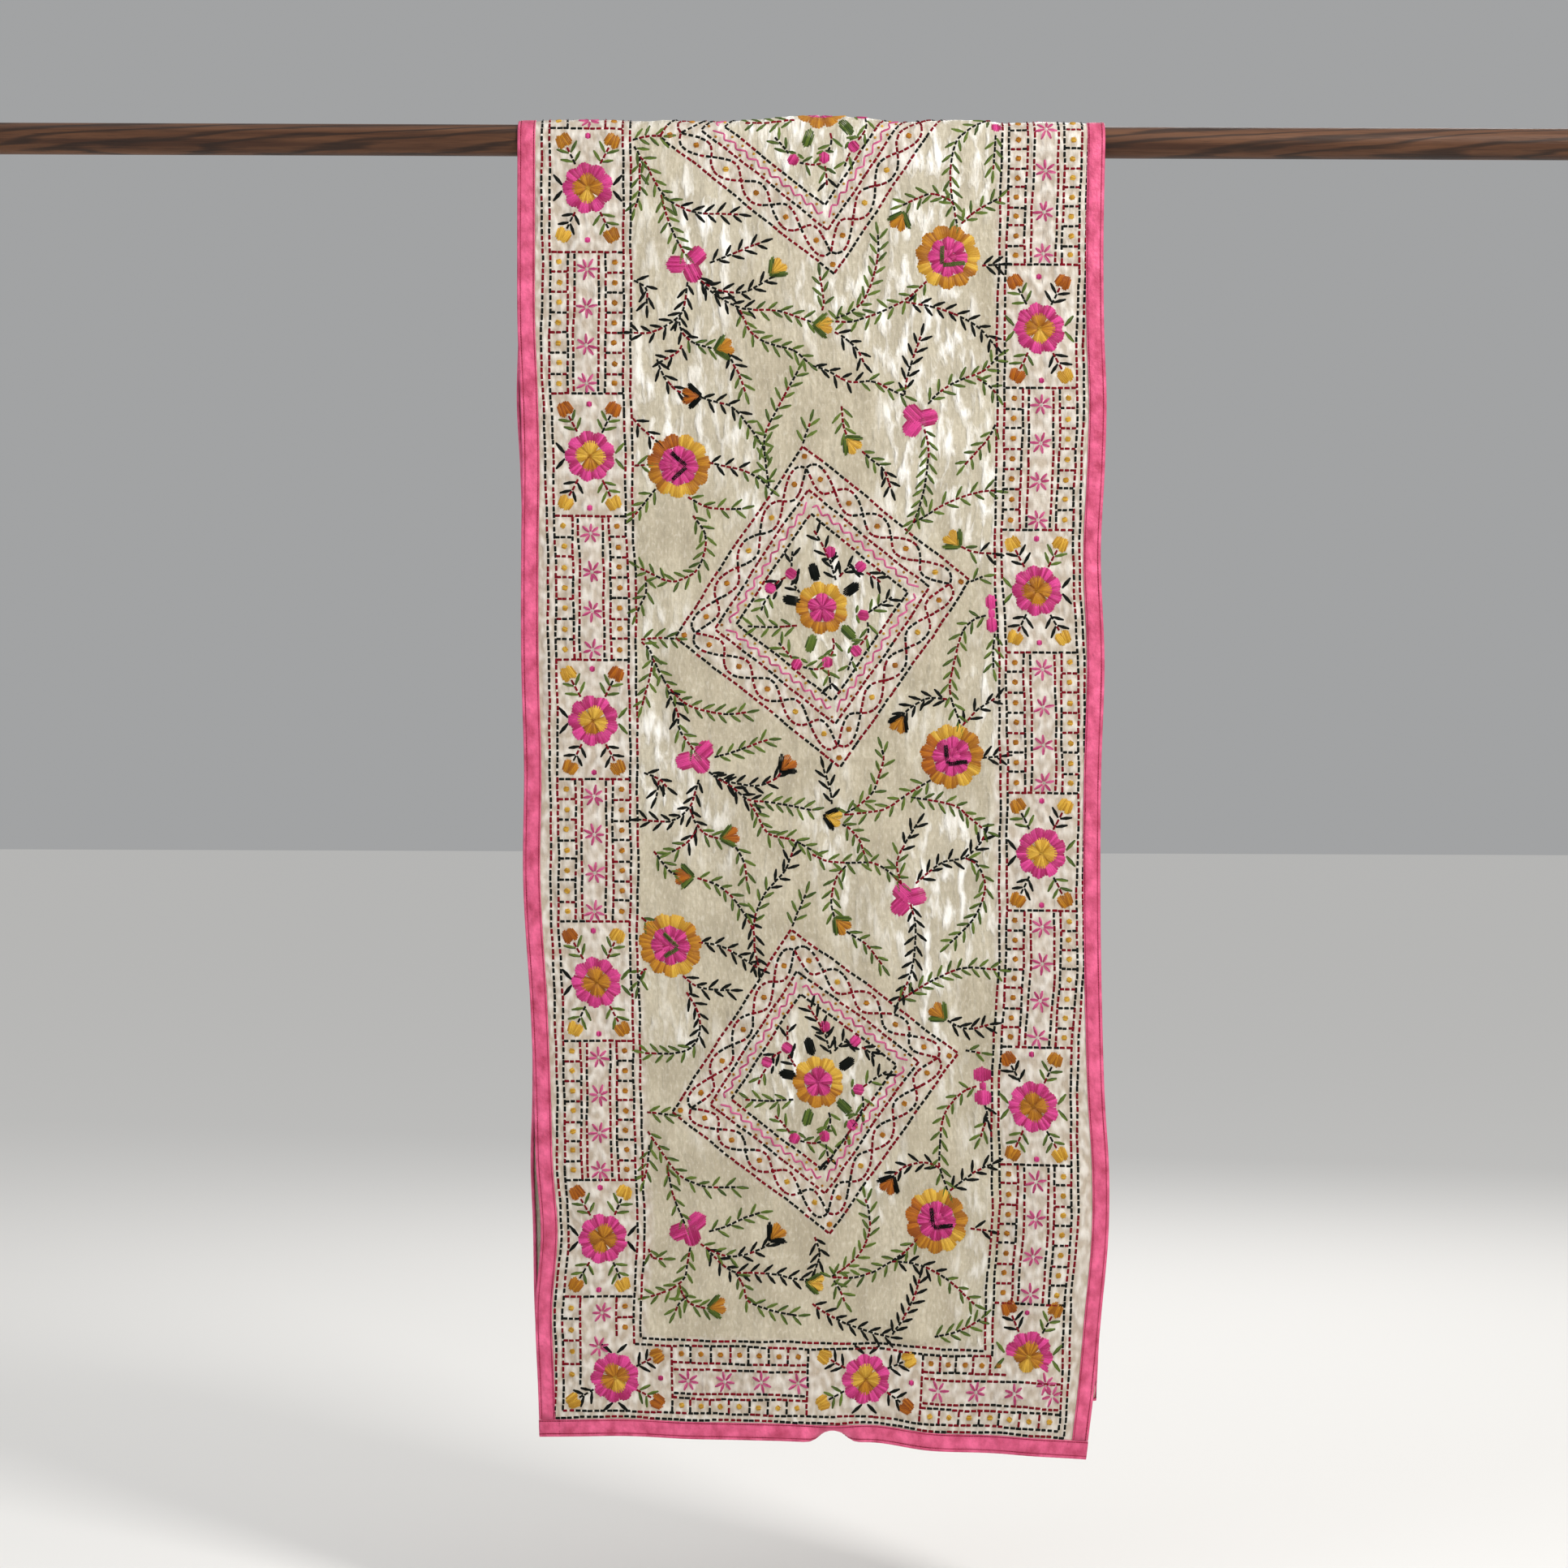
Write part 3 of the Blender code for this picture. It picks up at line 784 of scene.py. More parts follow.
def silk_material():
    """Cream silk: smooth, with patches of bright streaks, and puffed up where stitches are close. The
    streaks and puffs are bumps, painted white as painted highlights too.
    """
    look = Look("cream_silk", roughness=0.36, sheen=0.06, specular=0.55)
    tint = look.value("tint")
    # Where the silk shines: this sets the painted sheen, and where the streaks lie with their bumps and
    # painted highlights
    shine = look.remap(look.value("glow"), -0.4, 1.1)
    crinkle = look.noise(0.0095, 0.030, detail=6.0, distortion=0.25)
    crackle = look.noise(0.0030, 0.0060, distortion=0.5)
    puff = look.remap(look.noise(0.0060, 0.0100, detail=0.5), 0.36, 0.72)
    crumple = look.noise(0.012, 0.050)
    mottle = look.noise(0.030, 0.055, detail=3.0)
    warp = look.noise(0.0006, 0.010)
    weft = look.noise(0.012, 0.0007)
    streak = look.times(look.remap(crinkle, 0.48, 0.64), shine)
    form = look.node("ShaderNodeMix", {0: look.times(tint, 0.85), 2: streak, 3: puff})
    look.base = SILK_GROUND
    # A mottle of two tones: partly the silk's uneven tone, partly painted light and shade of its soft
    # undulations
    look.paint(look.remap(mottle, 0.35, 0.65), SILK_MOTTLE)
    # Painted shade and painted highlights on the fine crinkles, which are bumps as well
    look.paint(look.remap(crackle, 0.34, 0.56, 0.28, 0.0), SILK_CRINKLE_SHADE)
    look.paint(look.remap(crackle, 0.56, 0.70, 0.0, 0.35), SILK_CRINKLE_HIGHLIGHT)
    # Painted sheen: the silk painted brighter where it catches the light most
    look.paint(look.times(shine, 0.12), SILK_PAINTED_SHEEN)
    # Where stitches crowd the silk: a warmer tint, partly its own and partly painted shade between its
    # puffs
    look.paint(look.times(tint, 0.55), SILK_WARM_TINT_AND_SHADE)
    look.paint(look.remap(weft, 0.3, 0.7, 0.0, 0.12), SILK_WEFT)
    # Painted highlights: white on the bright streaks and on the puffs where stitches are close
    look.paint(look.times(form, look.remap(tint, 0.0, 1.0, 0.95, 0.62)), SILK_PAINTED_HIGHLIGHT)
    look.bump(crumple, 0.0035)
    look.bump(crinkle, 0.0022)
    look.bump(crackle, 0.0006)
    look.bump(form, 0.0009)
    look.bump(warp, 0.00022)
    look.bump(weft, 0.00025)
    return look.finished(look.remap(form, 0.0, 1.0, 0.44, 0.24))


def binding_material():
    """Pink cotton silk, darker and drawn in along its stitching, and clouded with painted highlight and
    shade over its own uneven tone.
    """
    look = Look("pink_binding", roughness=0.55, sheen=0.08, specular=0.35)
    cloudy = look.noise(0.014, 0.018, detail=3.0)
    pucker = look.noise(0.0050, 0.0065)
    weave = look.noise(0.0007, 0.0007, detail=1.0)
    look.base = BINDING_SHADE
    # Clouding: partly uneven tone, partly painted highlight and painted shade of the binding's wrinkles
    look.paint(look.remap(cloudy, 0.3, 0.7), BINDING_PINK)
    look.paint(look.remap(weave, 0.3, 0.7, 0.0, 0.18), BINDING_WEAVE)
    look.paint(look.remap(look.value("seam"), 0.1, 0.9, 0.0, 0.85), BINDING_SEAM)
    look.bump(pucker, 0.0020)
    look.bump(weave, 0.00020)
    return look.finished(look.remap(cloudy, 0.3, 0.7, 0.60, 0.44))


def walnut_material():
    """Dark stained walnut whose growth rings cut the rod at a slant, worn smooth and satin."""
    look = Look("dark_walnut", roughness=0.48, specular=0.22)
    look.place = look.node("ShaderNodeTexCoord", {}, "Object")
    turn = (math.radians(25), math.radians(4.5), 0.0)
    slant = look.node("ShaderNodeMapping", {"Vector": look.place, "Rotation": turn})
    long = look.node("ShaderNodeMapping", {"Vector": slant, "Scale": (0.07, 1.0, 1.0)})
    wave = {"Vector": long, "Scale": 34.0, "Distortion": 7.0, "Detail": 3.0, "Detail Scale": 2.2}
    rings = look.node("ShaderNodeTexWave", wave, "Fac", bands_direction="Z")
    pores = look.noise(0.030, 0.0006, depth=0.0006)
    broad = look.noise(0.35, 0.012, depth=0.012)
    look.base = WALNUT_DARK
    look.paint(look.remap(broad, 0.35, 0.65), WALNUT_LIGHT)
    look.paint(look.remap(rings, 0.55, 1.0, 0.0, 0.80), WALNUT_RINGS)
    look.paint(look.remap(pores, 0.56, 0.70, 0.0, 0.55), WALNUT_PORES)
    look.bump(pores, -0.00018)
    return look.finished(look.remap(pores, 0.4, 0.7, 0.42, 0.60))


def thread_material(thread):
    """Stranded silk thread: twisted plies, with each stitch a little lighter or deeper, and deeper still
    where shade is painted at the edges of lobes and ovals and between petals.
    """
    look = Look(thread.slot, roughness=0.42, specular=thread.gloss)
    strands = look.noise(0.0030, 0.00030)
    tone = look.remap(look.value("tone"), -1.0, 3.0)
    plies = look.remap(strands, 0.35, 0.65, 0.0, 0.5)
    look.base = thread.colour
    look.paint(look.node("ShaderNodeMath", {0: tone, 1: plies}, operation="ADD"), thread.shade)
    look.bump(strands, 0.00035)
    return look.finished()


def pucker_highlight_material():
    """The silk where a stitch draws it up: smooth, and painted far brighter than the cloth as a painted
    highlight.
    """
    look = Look("puckered_silk_highlight", roughness=0.28, sheen=0.15, specular=0.7)
    look.base = DRAWN_SILK_HIGHLIGHT
    look.paint(look.remap(look.value("tone"), -1.0, 1.0), DRAWN_SILK_DIM_HIGHLIGHT)
    look.bump(look.noise(0.0006, 0.0006), 0.00020)
    return look.finished()


def dress_rod(frame):
    walnut = walnut_material()
    for slot in frame["nodes"]["rod"].material_slots:
        slot.material = walnut


FLOOR_BELOW_HEM = 0.16
FLOOR_HALF = 40.0

# Soft lights, all aimed at the middle of the stole
Light = namedtuple("Light", "name location width height watts colour")
LIGHTS_AIM = (0.0, 0.0, -0.6)
LIGHTS = (
    Light("key", (1.7, -2.2, 1.5), 0.7, 1.4, 86.0, (1.0, 0.98, 0.95)),
    Light("fill", (-2.4, -2.6, 0.2), 1.6, 2.0, 24.0, (0.94, 0.97, 1.0)),
    Light("rear", (0.8, 2.8, 1.2), 1.6, 1.6, 40.0, (1.0, 0.98, 0.96)),
)
OVERHEAD_STRENGTH = 0.65
OVERHEAD_SPREAD = 50
WORLD_COLOUR = (0.86, 0.87, 0.88, 1.0)
WORLD_STRENGTH = 0.42


def make_floor():
    """A plain pale floor, well below the hem."""
    floor_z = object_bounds()[0][2] - FLOOR_BELOW_HEM
    corners = np.array([(x * FLOOR_HALF, y * FLOOR_HALF, floor_z)
                        for x, y in ((-1, -1), (1, -1), (1, 1), (-1, 1))])
    look = Look("pale_floor", roughness=0.85, specular=0.0)
    look.shader.inputs["Base Color"].default_value = (*FLOOR_COLOUR, 1.0)
    floor = new_mesh("floor", corners, np.array([[0, 1, 2, 3]]), look.finished())


def make_world():
    world = bpy.data.worlds.new("pale_studio")
    bpy.context.scene.world = world
    world.use_nodes = True
    background = world.node_tree.nodes["Background"]
    background.inputs["Color"].default_value = WORLD_COLOUR
    background.inputs["Strength"].default_value = WORLD_STRENGTH


def add_object(name, data):
    obj = bpy.data.objects.new(name, data)
    bpy.context.scene.collection.objects.link(obj)
    return obj


def make_lights():
    for light in LIGHTS:
        data = bpy.data.lights.new(light.name, "AREA")
        data.shape = "RECTANGLE"
        data.size = light.width
        data.size_y = light.height
        data.energy = light.watts
        data.color = light.colour
        aim = np.array(LIGHTS_AIM) - np.array(light.location)
        yaw = math.atan2(-aim[0], aim[1])
        pitch = math.atan2(math.hypot(aim[0], aim[1]), -aim[2])
        obj = add_object(light.name, data)
        obj.location = light.location
        obj.rotation_euler = (pitch, 0.0, yaw)


def make_overhead():
    """Soft light from straight above, which keeps the whole floor pale."""
    data = bpy.data.lights.new("overhead", "SUN")
    data.energy = OVERHEAD_STRENGTH
    data.angle = math.radians(OVERHEAD_SPREAD)
    add_object("overhead", data)


def make_camera():
    """The photograph's own view, level and square on to the cloth."""
    data = bpy.data.cameras.new("camera")
    data.lens = LENS_MM
    data.sensor_width = SENSOR_MM
    camera = add_object("camera", data)
    camera.location = (CAMERA_X, CLOTH_PLANE_Y - CAMERA_DISTANCE, CAMERA_Z)
    camera.rotation_euler = (math.pi / 2, CAMERA_ROLL, 0.0)
    bpy.context.scene.camera = camera
    bpy.context.scene.view_settings.view_transform = "Standard"


# Names of the threads, as the record's slots have them
PINK = "pink_thread"
PALE = "pale_pink_thread"
OCHRE = "ochre_thread"
YELLOW = "yellow_thread"
RUST = "rust_thread"
GREEN = "green_thread"
DARK = "dark_thread"
WINE = "wine_thread"
WHITE = "white_thread"
PUCKER = "silk"

# Each thread's colour, a deeper shade of it, and how glossy it is
Thread = namedtuple("Thread", "slot colour shade gloss")
THREADS = (
    Thread(PINK, (0.82, 0.074, 0.345), (0.34, 0.008, 0.090), 0.34),
    Thread(PALE, (0.72, 0.150, 0.330), (0.40, 0.035, 0.130), 0.32),
    Thread(OCHRE, (0.60, 0.265, 0.014), (0.30, 0.100, 0.004), 0.28),
    Thread(YELLOW, (0.80, 0.500, 0.065), (0.46, 0.230, 0.016), 0.28),
    Thread(RUST, (0.54, 0.165, 0.006), (0.26, 0.060, 0.003), 0.26),
    Thread(GREEN, (0.150, 0.220, 0.030), (0.028, 0.056, 0.008), 0.22),
    Thread(DARK, (0.007, 0.009, 0.007), (0.003, 0.004, 0.003), 0.08),
    Thread(WINE, (0.240, 0.002, 0.012), (0.110, 0.001, 0.006), 0.08),
    Thread(WHITE, (0.86, 0.85, 0.80), (0.72, 0.69, 0.60), 0.40),
)

# Running stitch: what shows of each stitch, and the lump of silk drawn up between two
RUN_PITCH = 0.0063
RUN_SHARE = 0.86
RUN_WIDTH = 0.0029
RUN_HEIGHT = 0.0014
STEM_PITCH = 0.0058
STEM_WIDTH = 0.0025
PUCKER_WIDTH = 0.0021
PUCKER_HEIGHT = 0.00055
STITCH_SHIFT = 0.05
STITCH_LENGTHS = (0.86, 1.10)

# How a line of running stitch drifts off its course, and how its dye turns from black to wine red
LINE_DRIFT = 0.00045
STEADY_DRIFT = 0.0001
STITCH_DRIFT = 0.00012
SHORT_LINE = 0.12
DRIFT_WAVES = (0.021, 0.0075)
DYE_WAVES = (0.017, 0.0063)
SHORT_DRIFT_SHARE = 0.6
SHORT_DYE_SHARE = 0.8
WINE_LIMIT = 0.25
LEAST_DRIFT = 0.3
HEADING_STEP = 0.0005

# Leaves, and the vines that carry them
LEAF_LENGTH = 0.0128
LEAF_SPACING = 0.0114
LEAF_BOW = 0.00085
LEAF_ANGLE = 40
LEAF_START = 0.28
LEAF_OFF_STEM = 0.0009
PAIR_OFF_STEM = 0.0008
LEAF_LENGTHS = (0.85, 1.08)
PAIR_LENGTHS = (0.88, 1.06)
LEAF_SPACINGS = (0.92, 1.18)
LEAF_DELAYS = (0.25, 0.45)
VINE_WINES = (-0.3, 0.9)
STRAND_WIDTH = 0.0020
LEAF_HEIGHT = 0.0009

# How high satin stitch stands, and its range from lighter to deeper
SATIN_HEIGHT = 0.0013
HEART_HEIGHT = 0.0017
SATIN_TONES = (-1.6, 2.0)

# How far each line of a border lies from the stole's edge
Border = namedtuple("Border", "edge rail_1 rail_2 channel_1 stars channel_2 rail_3 rail_4 field")
LEFT_BORDER = Border(0.0247, 0.0322, 0.0493, 0.0552, 0.0673, 0.0788, 0.0853, 0.1025, 0.1095)
RIGHT_BORDER = Border(0.0192, 0.0255, 0.0418, 0.0477, 0.0598, 0.0713, 0.0778, 0.0950, 0.1020)
HEM_BORDER = Border(0.0190, 0.0250, 0.0395, 0.0445, 0.0564, 0.0672, 0.0738, 0.0904, 0.0959)

# The ladders of the borders, between two pixels of the photograph
LADDER_CELLS = 7
LEFT_LADDERS = ((311, 485), (636, 813), (960, 1135), (1282, 1453))
RIGHT_LADDERS = ((478, 653), (804, 977), (1122, 1290), (1435, 1606))
HEM_LADDERS = ((828, 995), (1136, 1310))
LAST_LEFT_LADDER = (1596, 1646)
LAST_LEFT_RAIL_END = 1705
LEFT_RIDGE_END = 160
RIGHT_RIDGE_END = 326
SHORT_HEM_RAIL_END = 1240
LEFT_BORDER_X = 732
RIGHT_BORDER_X = 1280
HEM_BORDER_Y = 1698

# Where the photograph shows each long border's line beside the binding and its line beside the
# field, by pixel
BorderLines = namedtuple("BorderLines", "pixel_y left_edge left_field right_field right_edge")
BORDER_LINES = (
    BorderLines(190, 667.0, 776.5, 1235.0, 1341.0),
    BorderLines(350, 668.5, 778.0, 1230.5, 1337.5),
    BorderLines(470, 667.5, 777.0, 1228.5, 1335.0),
    BorderLines(590, 672.5, 778.5, 1227.5, 1332.5),
    BorderLines(710, 675.5, 783.0, 1226.5, 1331.0),
    BorderLines(830, 676.5, 784.0, 1231.0, 1336.0),
    BorderLines(950, 677.5, 785.0, 1233.0, 1338.0),
    BorderLines(1070, 679.0, 786.5, 1232.0, 1335.0),
    BorderLines(1190, 681.5, 785.5, 1231.0, 1335.0),
    BorderLines(1310, 686.0, 789.0, 1222.0, 1327.0),
    BorderLines(1430, 687.0, 791.0, 1222.0, 1327.5),
    BorderLines(1550, 689.5, 792.5, 1218.5, 1323.5),
    BorderLines(1670, 685.5, 791.0, 1214.0, 1318.0),
    BorderLines(1760, 683.5, 790.0, 1210.0, 1313.0),
)
LOOSE_STARS = ((726, 152), (742, 1616), (738, 1658), (1288, 1704))
PINK_DOTS = ((1228, 158, 0.0104), (1265, 1616, 0.0050))
FIRST_STAR = 0.12
STAR_STEP = 0.27

# Pink dots beside a border's flowers, in pixels, and how much shows of the flower at the corner
PINK_DOT_OUT = 64
HEM_DOT = (59, -1)
CORNER_FLOWER_START = 180.0
CORNER_FLOWER_TURN = 215.0

# How the lines of a border are sewn, and how much of each is wine red
CELL_SHIFT = 0.0006
CHANNEL_INSET = 0.0012
FRAME_STEPS = 40
RAIL_WINE = 0.4
CELL_WINE = 0.3
CHANNEL_WINE = 0.7
FRAME_WINE = 0.1

# Flowers of the borders, by pixel, with the threads of their hearts and of their four buds:
# upper left, upper right, lower left, lower right
BorderFlower = namedtuple("BorderFlower", "x y heart buds")
BORDER_FLOWERS = (
    BorderFlower(724, 232, OCHRE, (OCHRE, OCHRE, YELLOW, OCHRE)),
    BorderFlower(727, 562, YELLOW, (RUST, RUST, YELLOW, YELLOW)),
    BorderFlower(731, 888, YELLOW, (YELLOW, RUST, OCHRE, OCHRE)),
    BorderFlower(735, 1210, OCHRE, (RUST, YELLOW, YELLOW, OCHRE)),
    BorderFlower(743, 1525, OCHRE, (RUST, YELLOW, OCHRE, YELLOW)),
    BorderFlower(1281, 405, OCHRE, (RUST, RUST, RUST, YELLOW)),
    BorderFlower(1278, 728, OCHRE, (YELLOW, YELLOW, YELLOW, YELLOW)),
    BorderFlower(1283, 1051, YELLOW, (OCHRE, YELLOW, OCHRE, OCHRE)),
    BorderFlower(1273, 1363, OCHRE, (RUST, OCHRE, OCHRE, YELLOW)),
)
HEM_FLOWERS = (
    BorderFlower(758, 1696, OCHRE, (None, OCHRE, YELLOW, RUST)),
    BorderFlower(1067, 1699, YELLOW, (YELLOW, YELLOW, YELLOW, RUST)),
)
CORNER_FLOWER = BorderFlower(1267, 1670, OCHRE, (RUST, OCHRE, None, None))

# The two diamonds that hang whole in front, by the pixels of their corners and of their flowers
Diamond = namedtuple("Diamond", "left top right bottom flower")
DIAMONDS = (
    Diamond((832, 785), (990, 550), (1195, 715), (1035, 945), (1013, 749)),
    Diamond((828, 1370), (975, 1145), (1180, 1298), (1022, 1520), (1008, 1333)),
)
RIDGE_DIAMOND_LEFT = (814, 169)
RIDGE_DIAMOND_BOTTOM = (1028, 338)
RIDGE_FLOWER = (0.0085, -0.0065)
OUTER_LINE = 1.0
WAVE_MIDDLE = 0.865
WAVE_SWING = 0.090
WAVES_A_SIDE = 5
MIDDLE_LINE = 0.73
ZIGZAG_MIDDLE = 0.655
ZIGZAG_SWING = 0.022
ZIGZAGS_A_SIDE = 20
ZIGZAG_WIDTH = 0.0023
ZIGZAG_DOTS_OUT = 0.042
CORNER_DOT = 0.94
INNER_LINE = 0.58
WAVE_STEPS = 10
OCHRE_DOT_CHANCE = 0.7

# How far out each line of a diamond lies, and how much of it is wine red
DIAMOND_LINES = ((OUTER_LINE, 0.5), (MIDDLE_LINE, 0.7), (INNER_LINE, -0.3))

# Inside a diamond, in pixels from its centre
Leafy = namedtuple("Leafy", "x y heading thread")
GARDEN_BUDS = (
    Leafy(11, -69, 270, DARK),
    Leafy(49, -51, 315, DARK),
    Leafy(51, 9, 10, GREEN),
    Leafy(41, 53, 50, GREEN),
    Leafy(5, 67, 90, GREEN),
    Leafy(-38, -42, 215, DARK),
    Leafy(-64, -24, 200, DARK),
    Leafy(-33, 70, 120, GREEN),
)
GARDEN_LEAVES = (
    Leafy(-9, -44, 255, DARK),
    Leafy(37, -23, 325, DARK),
    Leafy(32, 30, 45, GREEN),
    Leafy(-38, -9, 190, DARK),
    Leafy(-15, 44, 110, GREEN),
)

# Large flowers of the field. The ring's second thread fills the side that heading points to.
FieldFlower = namedtuple("FieldFlower", "x y first second heading mark mark_points")
FIELD_FLOWERS = (
    FieldFlower(1168, 317, YELLOW, OCHRE, 270, GREEN, ((1161, 302), (1161, 327), (1190, 324))),
    FieldFlower(836, 574, YELLOW, RUST, 225, DARK, ((826, 557), (846, 575), (828, 592))),
    FieldFlower(1173, 932, YELLOW, RUST, 180, DARK, ((1165, 917), (1168, 942), (1193, 938))),
    FieldFlower(826, 1165, YELLOW, OCHRE, 200, GREEN, ((817, 1149), (836, 1168), (818, 1179))),
    FieldFlower(1154, 1504, YELLOW, RUST, 180, DARK, ((1147, 1487), (1150, 1512), (1175, 1509))),
)

# Pink blossoms of three lobes, by each lobe's pixel, about the first point
BLOSSOMS = (
    ((848, 326), (831, 326), (860, 314), (854, 338)),
    ((1132, 517), (1124, 509), (1145, 514), (1123, 528)),
    ((857, 934), (843, 938), (869, 923), (864, 942)),
    ((1119, 1107), (1111, 1099), (1131, 1104), (1108, 1118)),
    ((849, 1512), (835, 1518), (860, 1503), (853, 1524)),
)

# Pink bows beside the right border, by each one's knot and width in pixels
Bow = namedtuple("Bow", "x y width")
BOWS = (Bow(1222, 756, 14), Bow(1211, 1338, 22))

# Half-open flowers, with the heading in degrees that each opens to
Tulip = namedtuple("Tulip", "x y heading thread sepal")
TULIPS = (
    Tulip(958, 330, 315, YELLOW, GREEN),
    Tulip(1015, 401, 0, YELLOW, GREEN),
    Tulip(893, 428, 345, OCHRE, GREEN),
    Tulip(851, 488, 180, RUST, DARK),
    Tulip(1108, 273, 115, OCHRE, GREEN),
    Tulip(1050, 548, 45, YELLOW, GREEN),
    Tulip(1174, 665, 225, YELLOW, GREEN),
    Tulip(970, 942, 315, RUST, DARK),
    Tulip(1027, 1008, 15, YELLOW, DARK),
    Tulip(1037, 1140, 45, OCHRE, GREEN),
    Tulip(900, 1030, 345, RUST, GREEN),
    Tulip(842, 1080, 180, RUST, GREEN),
    Tulip(1108, 892, 115, OCHRE, DARK),
    Tulip(1156, 1247, 225, OCHRE, GREEN),
    Tulip(957, 1518, 315, OCHRE, DARK),
    Tulip(1005, 1580, 0, YELLOW, GREEN),
    Tulip(884, 1609, 350, OCHRE, GREEN),
    Tulip(1095, 1460, 120, RUST, DARK),
)

# The vines, by pixels from where each starts to its tip. Their leaves are green or dark, or turn
# from the one to the other halfway.
Vine = namedtuple("Vine", "first last points")


def green(*points):
    return Vine(GREEN, GREEN, points)


def dark(*points):
    return Vine(DARK, DARK, points)


def to_green(*points):
    return Vine(DARK, GREEN, points)


def to_dark(*points):
    return Vine(GREEN, DARK, points)


